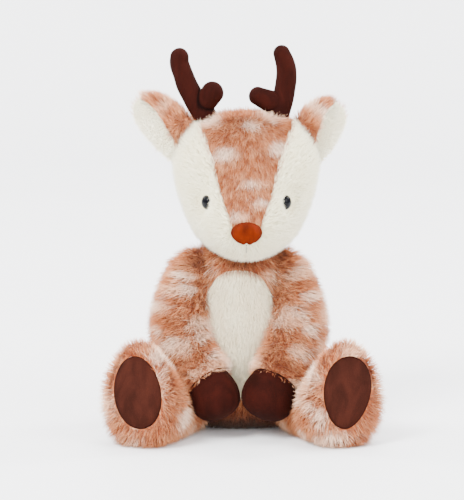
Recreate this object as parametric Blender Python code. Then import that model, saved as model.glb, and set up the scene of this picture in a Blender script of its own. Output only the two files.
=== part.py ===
"""A seated plush deer with suede antlers, hooves and soles, one object for each piece.

Lengths are in metres. The deer faces -Y, +X is its own left side and it sits on z = 0.
Every long-pile skin is as thick as its backing and half its pile.
"""
import math

import bpy
import bmesh
from mathutils import Matrix, Vector
from mathutils.bvhtree import BVHTree

SIDES = {"left": 1.0, "right": -1.0}
X_AXIS = Vector((1.0, 0.0, 0.0))
Y_AXIS = Vector((0.0, 1.0, 0.0))
Z_AXIS = Vector((0.0, 0.0, 1.0))

# Fabrics and the room left between neighbours
GAP = 0.0003
MOVING_GAP = 0.0006
FUR_SKIN = 0.0040
TUMMY_SKIN = 0.0032
FACE_SKIN = 0.0026
SUEDE_SKIN = 0.0014
SEAT_CUT = 0.0005
OVERRUN = 0.030
SHARP_EDGE_DEG = 40.0

# Body: a pear that narrows to a round neck
BODY_HEIGHT = 0.1450
BODY_HALF_WIDTH = 0.0510
BODY_FRONT_DEPTH = 0.0430
BODY_BACK_DEPTH = 0.0450
BODY_Y = 0.0060
# The seam between the two fur halves, a little to the right of the middle
BODY_SEAM_X = -0.0020
BODY_RINGS = 10
BODY_SIDES = 18
# height, half width, front depth and back depth
BODY_OUTLINE_SHARES = (
    (0.000, 0.56, 0.36, 0.58),
    (0.024, 0.77, 0.52, 0.77),
    (0.070, 0.91, 0.69, 0.90),
    (0.155, 0.99, 0.86, 0.98),
    (0.265, 1.00, 0.96, 1.00),
    (0.380, 0.97, 0.99, 0.98),
    (0.520, 0.89, 0.94, 0.91),
    (0.655, 0.78, 0.84, 0.80),
    (0.775, 0.67, 0.74, 0.69),
    (0.865, 0.57, 0.66, 0.60),
    (0.925, 0.47, 0.557, 0.533),
    (0.970, 0.31, 0.367, 0.351),
    (1.000, 0.00, 0.00, 0.00),
)
NECK_SINK = 0.0080
NECK_OPENING_Z = BODY_HEIGHT - NECK_SINK
TUMMY_X = -0.0020
TUMMY_HALF_WIDTH = 0.0250
TUMMY_HALF_HEIGHT = 0.0450
TUMMY_Z = 0.0750
TUMMY_POINTS = 20
TUMMY_ROUNDING_SHARE = 0.70
TUMMY_FULLNESS_SHARE = 0.10

# Pellet bag that weights the seat
PELLET_HALF_WIDTH = 0.0300
PELLET_HALF_DEPTH = 0.0260
PELLET_HALF_HEIGHT = 0.0090
PELLET_SET_BACK = 0.0045
PELLET_RINGS = 6
PELLET_SIDES = 16

# Head: full cheeks, a tapering snout and a round back
HEAD_X = 0.0030
HEAD_Y = 0.0020
HEAD_SINK = 0.0150
HEAD_BASE_Z = BODY_HEIGHT - HEAD_SINK
HEAD_HEIGHT = 0.1035
HEAD_HALF_WIDTH = 0.0515
HEAD_FRONT_DEPTH = 0.0670
HEAD_BACK_DEPTH = 0.0490
HEAD_RINGS = 12
HEAD_SIDES = 22
# height, half width, front depth, back depth, and how pointed the front of the ring is
HEAD_OUTLINE_SHARES = (
    (0.000, 0.00, 0.00, 0.00, 1.20),
    (0.039, 0.33, 0.60, 0.36, 1.20),
    (0.087, 0.51, 0.79, 0.54, 1.20),
    (0.164, 0.67, 0.925, 0.70, 1.25),
    (0.227, 0.74, 0.985, 0.78, 1.30),
    (0.309, 0.815, 0.975, 0.86, 1.30),
    (0.435, 0.90, 0.885, 0.93, 1.20),
    (0.560, 0.955, 0.775, 0.985, 1.10),
    (0.676, 0.97, 0.675, 1.00, 1.00),
    (0.802, 0.90, 0.54, 0.94, 1.00),
    (0.889, 0.765, 0.41, 0.82, 1.00),
    (0.947, 0.585, 0.29, 0.63, 1.00),
    (0.981, 0.36, 0.17, 0.40, 1.00),
    (1.000, 0.00, 0.00, 0.00, 1.00),
)
# The forehead gusset's edge, from under the nose to the crown: height and half width
GUSSET_EDGE_SHARES = (
    (0.200, 0.17),
    (0.304, 0.215),
    (0.434, 0.315),
    (0.558, 0.385),
    (0.684, 0.45),
    (0.807, 0.55),
    (0.956, 0.68),
)
CROWN_SEAM_Y = 0.0060

# Safety eyes and the washers that lock them
EYE_X = 0.0303
EYE_RISE = 0.0425
EYE_Z = HEAD_BASE_Z + EYE_RISE
EYE_RADIUS = 0.0046
EYE_DOME = 0.0036
EYE_SHANK_RADIUS = 0.0016
EYE_SHANK_LENGTH = 0.0100
EYE_SIDES = 12
EYE_RINGS = 4
WASHER_RADIUS = 0.0052
WASHER_THICKNESS = 0.0014
WASHER_SINK = 0.0008

# Nose pad and the stitched mouth line under it
NOSE_RISE = 0.0233
NOSE_Z = HEAD_BASE_Z + NOSE_RISE
NOSE_HALF_WIDTH = 0.0114
NOSE_HALF_HEIGHT = 0.0084
NOSE_PROUD = 0.0055
NOSE_SIDES = 14
NOSE_RINGS = 6
NOSE_ROUNDING_SHARE = 0.80
NOSE_FLAT_TOP_SHARE = 0.16
MOUTH_LENGTH = 0.0065
MOUTH_STEPS = 5
THREAD_RADIUS = 0.0005
THREAD_SIDES = 8

# Antlers: a leaning beam with one inward tine
ANTLER_RADIUS = 0.0074
TINE_RADIUS = 0.0086
ANTLER_BASE_X = {"left": 0.0217, "right": 0.0279}
ANTLER_BASE_RISE = 0.0940
ANTLER_BASE_Z = HEAD_BASE_Z + ANTLER_BASE_RISE
ANTLER_RISE = 0.0525
ANTLER_LEAN = 0.0215
ANTLER_BACK = 0.0050
ANTLER_SIDES = 10
ANTLER_BEAM_RINGS = 7
ANTLER_TINE_RINGS = 3
ANTLER_END_RINGS = 3
# along the beam: sideways, backwards, upwards, and radius
ANTLER_BEAM_SHARES = {
    "left": (
        (-0.02, 0.0, -0.08, 1.28),
        (0.08, 0.1, 0.17, 1.20),
        (0.23, 0.3, 0.35, 1.13),
        (0.33, 0.6, 0.53, 1.08),
        (0.38, 0.8, 0.71, 1.06),
        (0.35, 1.0, 0.87, 1.02),
        (0.21, 1.0, 1.03, 0.88),
    ),
    "right": (
        (0.00, 0.0, -0.08, 1.30),
        (0.14, 0.1, 0.16, 1.24),
        (0.44, 0.3, 0.36, 1.14),
        (0.72, 0.6, 0.57, 1.10),
        (0.88, 0.8, 0.74, 1.06),
        (1.00, 1.0, 0.88, 1.02),
        (1.00, 1.0, 0.98, 0.97),
    ),
}
ANTLER_TINE_SHARES = {
    "left": ((0.14, 0.2, 0.30, 0.90), (-0.14, 0.0, 0.35, 1.00), (-0.60, -0.6, 0.44, 0.84)),
    "right": ((0.25, 0.2, 0.28, 0.90), (0.07, -0.2, 0.37, 0.98), (-0.13, -0.7, 0.49, 1.00)),
}

# Ears: a folded leaf, its fur back round a smooth lining
EAR_LENGTH = {"left": 0.0360, "right": 0.0465}
EAR_LEAN_DEG = {"left": 36.0, "right": 46.0}
EAR_BASE_X = 0.0455
EAR_BASE_Y = 0.0040
EAR_BASE_RISE = 0.0810
EAR_BASE_Z = HEAD_BASE_Z + EAR_BASE_RISE
EAR_HALF_WIDTH = 0.0165
EAR_FOLD_RADIUS = 0.0075
EAR_BACK_SKIN = 0.0030
EAR_LINING_SKIN = 0.0020
EAR_WALL_POINTS = 2
EAR_FOLD_POINTS = 6
EAR_RINGS = 7
EAR_LEAST_WALL_SHARE = 1.20
EAR_SEAM_LEAN_DEG = 25.5
EAR_BEND_DEG = 18.0
# length, half width, fold radius, and how much of the width the front wall covers
EAR_OUTLINE_SHARES = (
    (-0.50, 0.80, 1.00, 0.68),
    (0.00, 1.00, 1.00, 0.64),
    (0.25, 1.02, 1.00, 0.55),
    (0.50, 0.98, 0.94, 0.45),
    (0.72, 0.86, 0.84, 0.38),
    (0.88, 0.66, 0.66, 0.35),
    (1.00, 0.34, 0.38, 0.36),
)

# Arms: sleeves that hang from the shoulders and meet in front of the seat
SHOULDER_X = 0.0340
SHOULDER_Y = 0.0000
SHOULDER_SINK = 0.0290
SHOULDER_Z = BODY_HEIGHT - SHOULDER_SINK
ARM_SPREAD = 0.0110
ARM_TUCK = {"left": 0.0060, "right": 0.0010}
ARM_REACH = 0.0630
ARM_DROP = 0.0970
ARM_RADIUS = 0.0185
ARM_SIDES = 12
ARM_RINGS = 9
ARM_SWING_DEG = 42.0
HAND_X = {"left": 0.0130, "right": 0.0142}
HOOF_RADIUS = {"left": 0.0200, "right": 0.0188}
# outwards, from the shoulder to the hoof; forwards; downwards; radius
ARM_PATH_SHARES = (
    (0.00, -0.02, -0.155, 0.00),
    (0.00, -0.01, -0.120, 0.42),
    (0.05, 0.00, -0.030, 0.82),
    (0.30, 0.04, 0.090, 0.95),
    (0.80, 0.19, 0.250, 1.00),
    (1.00, 0.36, 0.420, 1.00),
    (0.60, 0.58, 0.600, 0.95),
    (-0.30, 0.79, 0.765, 0.86),
)
# from wrist to hoof tip: along the hoof, and radius
HOOF_PROFILE_SHARES = (
    (0.00, 0.86),
    (0.18, 0.96),
    (0.42, 1.00),
    (0.66, 0.94),
    (0.85, 0.75),
    (0.96, 0.43),
    (1.00, 0.00),
)
HOOF_RINGS = 6
HOOF_LENGTH = 0.0290
HOOF_TURN_IN = 0.0110
HOOF_REACH = 0.0120

# Legs: straight sleeves along the floor that end in upright soles
HIP_X = 0.0400
HIP_Y = 0.0040
LEG_LENGTH = 0.0950
LEG_SPLAY_DEG = 22.0
LEG_HALF_WIDTH = 0.0240
FOOT_HEIGHT = 0.0750
LEG_SIDES = 14
LEG_RINGS = 8
LEG_SWING_DEG = 20.0
# length, half width, lowest and highest
LEG_OUTLINE_SHARES = (
    (0.00, 0.00, 0.33, 0.33),
    (0.05, 0.50, 0.14, 0.54),
    (0.15, 0.82, 0.04, 0.64),
    (0.30, 0.93, 0.00, 0.67),
    (0.50, 0.93, 0.00, 0.66),
    (0.66, 0.95, 0.00, 0.70),
    (0.79, 1.00, 0.00, 0.82),
    (0.89, 1.01, 0.00, 0.955),
    (0.96, 0.97, 0.015, 1.00),
    (1.00, 0.87, 0.065, 0.955),
)
LEG_FULLNESS_SHARE = 0.16
SOLE_HALF_WIDTH = 0.0185
SOLE_HALF_HEIGHT = 0.0265
SOLE_Z = 0.0400
SOLE_THICKNESS = 0.0030
SOLE_CROWN = 0.0012
# height and width of the crown
SOLE_CROWN_SHARES = ((0.8, 0.72), (1.0, 0.0))
SOLE_TILT_DEG = 5.0
SOLE_POINTS = 18
SOLE_FULLNESS_SHARE = {"left": 0.12, "right": -0.06}

# Tail
TAIL_Z = 0.0360
TAIL_LENGTH = 0.0340
TAIL_RADIUS = 0.0110
TAIL_RISE_DEG = 42.0
TAIL_SINK = 0.0060
TAIL_SIDES = 10
TAIL_RINGS = 6
TAIL_BEND_DEG = 15.0
# length and radius
TAIL_OUTLINE_SHARES = (
    (0.00, 0.70),
    (0.20, 0.90),
    (0.45, 1.00),
    (0.70, 0.85),
    (0.88, 0.55),
    (0.97, 0.28),
    (1.00, 0.00),
)

# red, green, blue, roughness and metallic of each finish
FINISHES = {
    "tan_fur": (0.62, 0.36, 0.24, 0.95, 0.0),
    "cream_plush": (0.84, 0.80, 0.71, 0.92, 0.0),
    "brown_suede": (0.085, 0.024, 0.014, 0.85, 0.0),
    "rust_velveteen": (0.42, 0.075, 0.012, 0.80, 0.0),
    "black_plastic": (0.010, 0.011, 0.013, 0.12, 0.0),
    "white_plastic": (0.75, 0.75, 0.73, 0.45, 0.0),
    "white_fibre": (0.86, 0.86, 0.84, 0.95, 0.0),
    "cotton_bag": (0.72, 0.70, 0.64, 0.90, 0.0),
    "grey_thread": (0.55, 0.52, 0.46, 0.80, 0.0),
}


def clear_scene():
    for item in list(bpy.data.objects):
        bpy.data.objects.remove(item, do_unlink=True)


def finish(name):
    """The Principled material of one of FINISHES."""
    material = bpy.data.materials.get(name)
    if material:
        return material
    red, green, blue, roughness, metallic = FINISHES[name]
    material = bpy.data.materials.new(name)
    material.use_nodes = True
    shader = material.node_tree.nodes["Principled BSDF"]
    shader.inputs["Base Color"].default_value = (red, green, blue, 1.0)
    shader.inputs["Roughness"].default_value = roughness
    shader.inputs["Metallic"].default_value = metallic
    return material


def smooth_rows(rows, count):
    """Reads count + 1 rows off the smooth curve through the rows of a table."""
    spans = len(rows) - 1
    read = []
    for step in range(count + 1):
        place = step * spans / count
        index = min(int(place), spans - 1)
        t = place - index
        before = rows[max(index - 1, 0)]
        here = rows[index]
        there = rows[index + 1]
        after = rows[min(index + 2, spans)]
        row = []
        for a, b, c, d in zip(before, here, there, after):
            bend = 2 * a - 5 * b + 4 * c - d
            twist = 3 * b - a - 3 * c + d
            row.append(0.5 * (2 * b + (c - a) * t + bend * t * t + twist * t ** 3))
        read.append(row)
    return read


def closed_loft(name, rings):
    """A closed mesh over rings of points; a ring of one point closes an end to a pole."""
    work = bmesh.new()
    loops = [[work.verts.new(point) for point in ring] for ring in rings]
    for lower, upper in zip(loops, loops[1:]):
        count = max(len(lower), len(upper))
        for k in range(count):
            after = (k + 1) % count
            corners = [lower[k % len(lower)], lower[after % len(lower)]]
            corners += [upper[after % len(upper)], upper[k % len(upper)]]
            work.faces.new(list(dict.fromkeys(corners)))
    for loop in (loops[0], loops[-1]):
        if len(loop) > 1:
            work.faces.new(loop)
    bmesh.ops.recalc_face_normals(work, faces=work.faces)
    # Triangles, so that a form and its offset copies share their diagonals.
    bmesh.ops.triangulate(work, faces=work.faces, quad_method="FIXED")
    mesh = bpy.data.meshes.new(name)
    work.to_mesh(mesh)
    work.free()
    return mesh


def offset_copy(mesh, distance):
    """The mesh swollen, or shrunk by a negative distance, along its own normals."""
    copy = mesh.copy()
    work = bmesh.new()
    work.from_mesh(copy)
    work.normal_update()
    moves = [(vertex, vertex.normal * distance) for vertex in work.verts]
    for vertex, move in moves:
        vertex.co += move
    work.to_mesh(copy)
    work.free()
    return copy


def turned_copy(mesh, pivot, axis, degrees):
    copy = mesh.copy()
    turn = Matrix.Rotation(math.radians(degrees), 4, axis)
    copy.transform(Matrix.Translation(pivot) @ turn @ Matrix.Translation(-pivot))
    return copy


def box_mesh(low, high):
    work = bmesh.new()
    bmesh.ops.create_cube(work, size=1.0)
    for vertex in work.verts:
        for k in range(3):
            vertex.co[k] = high[k] if vertex.co[k] > 0 else low[k]
    mesh = bpy.data.meshes.new("box")
    work.to_mesh(mesh)
    work.free()
    return mesh


def prism(outline, y_low, y_high):
    """An XZ outline extruded along Y."""
    rings = [[Vector((x, y, z)) for x, z in outline] for y in (y_low, y_high)]
    return closed_loft("prism", rings)


def cylinder(base, direction, radius, length, sides):
    across, along = cross_axes(direction, Z_AXIS)
    rings = []
    for distance in (0.0, length):
        centre = base + direction * distance
        rings.append(oval(centre, across, radius, along, radius, sides))
    return closed_loft("cylinder", rings)


def cross_axes(direction, reference):
    """Two unit vectors square to the direction, the first one nearest the reference."""
    first = (reference - direction * reference.dot(direction)).normalized()
    return first, direction.cross(first)


def oval(centre, first, first_radius, second, second_radius, sides):
    points = []
    for k in range(sides):
        angle = 2 * math.pi * k / sides
        point = centre + first * (first_radius * math.cos(angle))
        points.append(point + second * (second_radius * math.sin(angle)))
    return points


def path_frames(path, reference):
    """At each point of a path, the point, the direction and two axes square to it."""
    frames = []
    last = len(path) - 1
    for k, centre in enumerate(path):
        direction = (path[min(k + 1, last)] - path[max(k - 1, 0)]).normalized()
        frames.append((centre, direction, *cross_axes(direction, reference)))
    return frames


def rings_on(frames, radii, sides, ahead=0.0):
    """Round rings on a path's frames; a radius of zero closes an end to a pole."""
    rings = []
    for (centre, direction, first, second), radius in zip(frames, radii):
        centre = centre + direction * ahead
        if radius <= 0:
            rings.append([centre])
        else:
            rings.append(oval(centre, first, radius, second, radius, sides))
    return rings


def tube_rings(path, radii, reference, sides):
    return rings_on(path_frames(path, reference), radii, sides)


def combine(mesh, other, operation, solver="EXACT"):
    """The mesh after a Boolean with another mesh."""
    target = bpy.data.objects.new("target", mesh)
    tool = bpy.data.objects.new("tool", other)
    for item in (target, tool):
        bpy.context.scene.collection.objects.link(item)
    cut = target.modifiers.new("cut", "BOOLEAN")
    cut.operation = operation
    cut.solver = solver
    cut.object = tool
    graph = bpy.context.evaluated_depsgraph_get()
    result = bpy.data.meshes.new_from_object(target.evaluated_get(graph))
    for item in (target, tool):
        bpy.data.objects.remove(item, do_unlink=True)
    return result


def cut_away(mesh, *others):
    for other in others:
        mesh = combine(mesh, other, "DIFFERENCE")
    return mesh


def make_room(mesh, clearance):
    """Cuts a moving piece clear; these copies graze each other, which needs MANIFOLD."""
    for copy in clearance:
        mesh = combine(mesh, copy, "DIFFERENCE", "MANIFOLD")
    return mesh


def keep_inside(mesh, other):
    return combine(mesh, other, "INTERSECT")


def join(mesh, other):
    return combine(mesh, other, "UNION")


def swept_clearance(mesh, gap, pivot, axis, angles):
    """Copies of a neighbour, swollen by the gap and turned as a moving piece sees it."""
    grown = offset_copy(mesh, gap)
    return [turned_copy(grown, pivot, axis, angle) for angle in angles]


def stand_on_floor(mesh):
    low = [min(vertex.co[k] for vertex in mesh.vertices) - OVERRUN for k in range(3)]
    high = [max(vertex.co[k] for vertex in mesh.vertices) + OVERRUN for k in range(3)]
    high[2] = 0.0
    return cut_away(mesh, box_mesh(low, high))


def drop_specks(mesh):
    """Keeps the largest shell, where a grazing cut leaves a speck beside it."""
    work = bmesh.new()
    work.from_mesh(mesh)
    shells = []
    seen = set()
    for start in work.verts:
        if start in seen:
            continue
        shell = []
        waiting = [start]
        seen.add(start)
        while waiting:
            vertex = waiting.pop()
            shell.append(vertex)
            for edge in vertex.link_edges:
                other = edge.other_vert(vertex)
                if other not in seen:
                    seen.add(other)
                    waiting.append(other)
        shells.append(shell)
    shells.sort(key=len)
    spare = [vertex for shell in shells[:-1] for vertex in shell]
    bmesh.ops.delete(work, geom=spare, context="VERTS")
    work.to_mesh(mesh)
    work.free()
    return mesh


def add_piece(name, mesh, finish_name, pivot=None):
    """Links a piece; one that moves hangs from the empty on its joint."""
    mesh = drop_specks(mesh)
    mesh.name = name
    mesh.materials.clear()
    mesh.materials.append(finish(finish_name))
    for face in mesh.polygons:
        face.material_index = 0
    mesh.shade_smooth()
    mesh.set_sharp_from_angle(angle=math.radians(SHARP_EDGE_DEG))
    item = bpy.data.objects.new(name, mesh)
    bpy.context.scene.collection.objects.link(item)
    if pivot:
        mesh.transform(Matrix.Translation(-pivot.location))
        item.parent = pivot
    return item


def add_pivot(name, location, parent=None):
    pivot = bpy.data.objects.new(name, None)
    bpy.context.scene.collection.objects.link(pivot)
    pivot.location = location
    if parent:
        pivot.parent = parent
        pivot.matrix_parent_inverse = Matrix.Translation(-parent.location)
    return pivot


def outline_rings(rows, centre_x, centre_y, base_z, sizes, sides):
    """Level rings whose front may be drawn to a point, as on a snout."""
    height, half_width, front_depth, back_depth = sizes
    rings = []
    for row in rows:
        z = base_z + row[0] * height
        wide = max(row[1], 0.0) * half_width
        point = row[4] if len(row) > 4 else 1.0
        if wide <= 0:
            rings.append([Vector((centre_x, centre_y, z))])
            continue
        ring = []
        for k in range(sides):
            angle = 2 * math.pi * (k + 0.5) / sides
            ahead = math.cos(angle)
            if ahead > 0:
                y = -row[2] * front_depth * ahead ** point
            else:
                y = -row[3] * back_depth * ahead
            ring.append(Vector((centre_x + wide * math.sin(angle), centre_y + y, z)))
        rings.append(ring)
    return rings


def body_form():
    rows = smooth_rows(BODY_OUTLINE_SHARES, BODY_RINGS)
    rows[-1] = BODY_OUTLINE_SHARES[-1]
    sizes = (BODY_HEIGHT + SEAT_CUT, BODY_HALF_WIDTH, BODY_FRONT_DEPTH, BODY_BACK_DEPTH)
    rings = outline_rings(rows, 0.0, BODY_Y, -SEAT_CUT, sizes, BODY_SIDES)
    return closed_loft("body_form", rings)


def head_form():
    rows = smooth_rows(HEAD_OUTLINE_SHARES, HEAD_RINGS)
    rows[0] = HEAD_OUTLINE_SHARES[0]
    rows[-1] = HEAD_OUTLINE_SHARES[-1]
    sizes = (HEAD_HEIGHT, HEAD_HALF_WIDTH, HEAD_FRONT_DEPTH, HEAD_BACK_DEPTH)
    rings = outline_rings(rows, HEAD_X, HEAD_Y, HEAD_BASE_Z, sizes, HEAD_SIDES)
    return closed_loft("head_form", rings)


def tummy_outline(inset):
    """The tummy panel's edge as x, z points: a long oval, broader at its top."""
    outline = []
    for k in range(TUMMY_POINTS):
        angle = 2 * math.pi * k / TUMMY_POINTS
        aside = math.copysign(abs(math.sin(angle)) ** TUMMY_ROUNDING_SHARE, math.sin(angle))
        wide = (TUMMY_HALF_WIDTH - inset) * (1.0 + TUMMY_FULLNESS_SHARE * math.cos(angle))
        tall = TUMMY_HALF_HEIGHT - inset
        outline.append((TUMMY_X + wide * aside, TUMMY_Z + tall * math.cos(angle)))
    return outline


def add_body(body, floor_body):
    """Two fur halves, the tummy panel, the stuffing and the pellet bag."""
    low_y = BODY_Y - BODY_FRONT_DEPTH - OVERRUN
    core = offset_copy(floor_body, -FUR_SKIN)
    skin = cut_away(floor_body, core)
    skin = cut_away(skin, prism(tummy_outline(0.0), low_y, BODY_Y))
    reach = BODY_HALF_WIDTH + OVERRUN
    high_y = BODY_Y + BODY_BACK_DEPTH + OVERRUN
    for side, sign in SIDES.items():
        inner = BODY_SEAM_X + sign * GAP / 2
        low_x = min(inner, sign * reach)
        high_x = max(inner, sign * reach)
        half = box_mesh((low_x, low_y, -OVERRUN), (high_x, high_y, NECK_OPENING_Z))
        add_piece("body_fur_" + side, keep_inside(skin, half), "tan_fur")
    tummy = keep_inside(body, prism(tummy_outline(GAP), low_y, BODY_Y))
    tummy = cut_away(tummy, offset_copy(body, -TUMMY_SKIN))
    add_piece("tummy_panel", tummy, "cream_plush")
    bag_z = FUR_SKIN + GAP + PELLET_HALF_HEIGHT
    bag = pellet_form(bag_z)
    add_piece("pellet_bag", bag, "cotton_bag")
    stuffing = offset_copy(floor_body, -FUR_SKIN - GAP)
    below = box_mesh((-reach, low_y, -OVERRUN), (reach, high_y, bag_z - PELLET_HALF_HEIGHT))
    stuffing = cut_away(stuffing, below, offset_copy(bag, GAP))
    add_piece("body_stuffing", stuffing, "white_fibre")


def pellet_form(centre_z):
    rings = []
    for level in range(PELLET_RINGS + 1):
        angle = math.pi * level / PELLET_RINGS
        height = centre_z - PELLET_HALF_HEIGHT * math.cos(angle)
        centre = Vector((0.0, BODY_Y + PELLET_SET_BACK, height))
        spread = math.sin(angle)
        if level in (0, PELLET_RINGS):
            rings.append([centre])
        else:
            wide = PELLET_HALF_WIDTH * spread
            deep = PELLET_HALF_DEPTH * spread
            rings.append(oval(centre, X_AXIS, wide, Y_AXIS, deep, PELLET_SIDES))
    return closed_loft("pellet_bag", rings)


def gusset_edge(sign, inset):
    """The seam between forehead and cheek as x, z points, drawn in towards the middle."""
    edge = []
    for height, width in GUSSET_EDGE_SHARES:
        x = HEAD_X + sign * (width * HEAD_HALF_WIDTH - inset)
        edge.append((x, HEAD_BASE_Z + height * HEAD_HEIGHT))
    return edge


def add_head(head, body, pivot):
    """Two cheek panels, the forehead gusset, the head back and the stuffing."""
    core = offset_copy(head, -FACE_SKIN)
    skin = cut_away(head, core, offset_copy(body, GAP))
    front = HEAD_Y - HEAD_FRONT_DEPTH - OVERRUN
    back = HEAD_Y + HEAD_BACK_DEPTH + OVERRUN
    seam = CROWN_SEAM_Y
    crown = HEAD_BASE_Z + HEAD_HEIGHT + OVERRUN
    floor = HEAD_BASE_Z - OVERRUN
    reach = HEAD_HALF_WIDTH + OVERRUN
    rear = box_mesh((HEAD_X - reach, seam + GAP, floor), (HEAD_X + reach, back, crown))
    add_piece("head_back", keep_inside(skin, rear), "tan_fur", pivot)
    right_edge = gusset_edge(-1.0, GAP / 2)
    left_edge = gusset_edge(1.0, GAP / 2)
    top_right = (right_edge[-1][0], crown)
    top_left = (left_edge[-1][0], crown)
    outline = right_edge + [top_right, top_left] + left_edge[::-1]
    forehead = keep_inside(skin, prism(outline, front, seam))
    add_piece("forehead_gusset", forehead, "tan_fur", pivot)
    eyes = {}
    for side, sign in SIDES.items():
        edge = gusset_edge(sign, -GAP / 2)
        middle = HEAD_X + sign * GAP / 2
        outer = HEAD_X + sign * reach
        outline = [(middle, floor), (middle, edge[0][1] - GAP)] + edge
        outline += [(edge[-1][0], crown), (outer, crown), (outer, floor)]
        panel = keep_inside(skin, prism(outline, front, seam))
        base, normal = on_surface(head, HEAD_X + sign * EYE_X, EYE_Z)
        eyes[side] = (base, normal)
        hole = cylinder(
            base + normal * OVERRUN, -normal, EYE_SHANK_RADIUS + GAP, 2 * OVERRUN, EYE_SIDES
        )
        seat = cylinder(base, normal, EYE_RADIUS + GAP, OVERRUN, EYE_SIDES)
        nip = cylinder(
            base - normal * (FACE_SKIN + WASHER_SINK + OVERRUN),
            normal, WASHER_RADIUS + GAP, OVERRUN + GAP, EYE_SIDES,
        )
        panel = cut_away(panel, hole, seat, nip)
        add_piece("face_" + side, panel, "cream_plush", pivot)
    stuffing = cut_away(offset_copy(core, -GAP), offset_copy(body, GAP))
    for side, (base, normal) in eyes.items():
        stuffing = add_eye(side, base, normal, stuffing, pivot)
    add_piece("head_stuffing", stuffing, "white_fibre", pivot)


def on_surface(mesh, x, z, heading=Y_AXIS):
    """The point and normal where a line along +Y, or -Y, at x, z first meets the mesh."""
    work = bmesh.new()
    work.from_mesh(mesh)
    tree = BVHTree.FromBMesh(work)
    nearest = min(vertex.co.dot(heading) for vertex in work.verts)
    start = Vector((x, 0.0, z)) + heading * (nearest - OVERRUN)
    point, normal, _, _ = tree.ray_cast(start, heading)
    work.free()
    return point, normal


def add_eye(side, base, normal, stuffing, pivot):
    """A domed eye on its shank and the washer behind the fabric; gives back the stuffing."""
    first, second = cross_axes(normal, Z_AXIS)
    rings = [[base - normal * EYE_SHANK_LENGTH]]
    for distance, radius in (
        (-EYE_SHANK_LENGTH, EYE_SHANK_RADIUS),
        (GAP, EYE_SHANK_RADIUS),
        (GAP, EYE_RADIUS),
    ):
        rings.append(oval(base + normal * distance, first, radius, second, radius, EYE_SIDES))
    for step in range(1, EYE_RINGS):
        angle = 0.5 * math.pi * step / EYE_RINGS
        centre = base + normal * (GAP + EYE_DOME * math.sin(angle))
        radius = EYE_RADIUS * math.cos(angle)
        rings.append(oval(centre, first, radius, second, radius, EYE_SIDES))
    rings.append([base + normal * (GAP + EYE_DOME)])
    add_piece("eye_" + side, closed_loft("eye", rings), "black_plastic", pivot)
    washer_base = base - normal * (FACE_SKIN + WASHER_SINK + WASHER_THICKNESS)
    washer = cylinder(washer_base, normal, WASHER_RADIUS, WASHER_THICKNESS, EYE_SIDES)
    bore_base = washer_base - normal * OVERRUN
    bore = cylinder(bore_base, normal, EYE_SHANK_RADIUS + GAP, 2 * OVERRUN, EYE_SIDES)
    add_piece("eye_washer_" + side, cut_away(washer, bore), "white_plastic", pivot)
    room_base = base - normal * (EYE_SHANK_LENGTH + GAP)
    shank_room = cylinder(
        room_base, normal, EYE_SHANK_RADIUS + GAP, EYE_SHANK_LENGTH + OVERRUN, EYE_SIDES
    )
    washer_room = cylinder(
        washer_base - normal * GAP, normal, WASHER_RADIUS + GAP, OVERRUN, EYE_SIDES
    )
    return cut_away(stuffing, shank_room, washer_room)


def add_nose(head, pivot):
    """A puffy pad on the snout's tip and the stitched line below it."""
    base, normal = on_surface(head, HEAD_X, NOSE_Z)
    outward = Vector((0.0, normal.y, normal.z)).normalized()
    up = Z_AXIS - outward * outward.z
    up.normalize()
    rings = []
    depth = NOSE_PROUD + FACE_SKIN
    for level in range(NOSE_RINGS + 1):
        angle = math.pi * level / NOSE_RINGS
        centre = base - outward * depth * math.cos(angle)
        if level in (0, NOSE_RINGS):
            rings.append([centre])
            continue
        spread = math.sin(angle) ** NOSE_ROUNDING_SHARE
        tall = NOSE_HALF_HEIGHT * spread
        ring = []
        for point in oval(centre, up, tall, X_AXIS, NOSE_HALF_WIDTH * spread, NOSE_SIDES):
            rise = (point - centre).dot(up)
            ring.append(point - up * (NOSE_FLAT_TOP_SHARE * max(rise, 0.0)))
        rings.append(ring)
    pad = cut_away(closed_loft("nose", rings), offset_copy(head, GAP))
    add_piece("nose", pad, "rust_velveteen", pivot)
    path = []
    top = NOSE_Z - NOSE_HALF_HEIGHT - GAP - THREAD_RADIUS
    for step in range(MOUTH_STEPS + 1):
        spot, away = on_surface(head, HEAD_X, top - MOUTH_LENGTH * step / MOUTH_STEPS)
        path.append(spot + away * (THREAD_RADIUS + GAP))
    rings = tube_rings(path, [THREAD_RADIUS] * len(path), X_AXIS, THREAD_SIDES)
    add_piece("mouth_stitch", closed_loft("mouth", rings), "grey_thread", pivot)


def rounded_tube(path, inset, sides, round_start):
    """A tube along places with radii, half-round at its tip or at both ends."""
    centres = [place for place, radius in path]
    radii = [radius - inset for place, radius in path]
    ends = radii[0], radii[-1]
    root = (centres[0] - centres[1]).normalized()
    tip = (centres[-1] - centres[-2]).normalized()
    first, last = centres[0], centres[-1]
    for step in range(1, ANTLER_END_RINGS + 1):
        angle = 0.5 * math.pi * step / ANTLER_END_RINGS
        narrow = math.cos(angle) if step < ANTLER_END_RINGS else 0.0
        centres.append(last + tip * (ends[1] * math.sin(angle)))
        radii.append(ends[1] * narrow)
        if round_start:
            centres.insert(0, first + root * (ends[0] * math.sin(angle)))
            radii.insert(0, ends[0] * narrow)
    return closed_loft("tube", tube_rings(centres, radii, Y_AXIS, sides))


def antler_path(shares, side, sign, radius):
    """Places and radii along a beam or a tine."""
    path = []
    for out, back, up, fullness in shares:
        x = HEAD_X + sign * (ANTLER_BASE_X[side] + out * ANTLER_LEAN)
        place = Vector((x, HEAD_Y + back * ANTLER_BACK, ANTLER_BASE_Z + up * ANTLER_RISE))
        path.append((place, fullness * radius))
    return path


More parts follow.
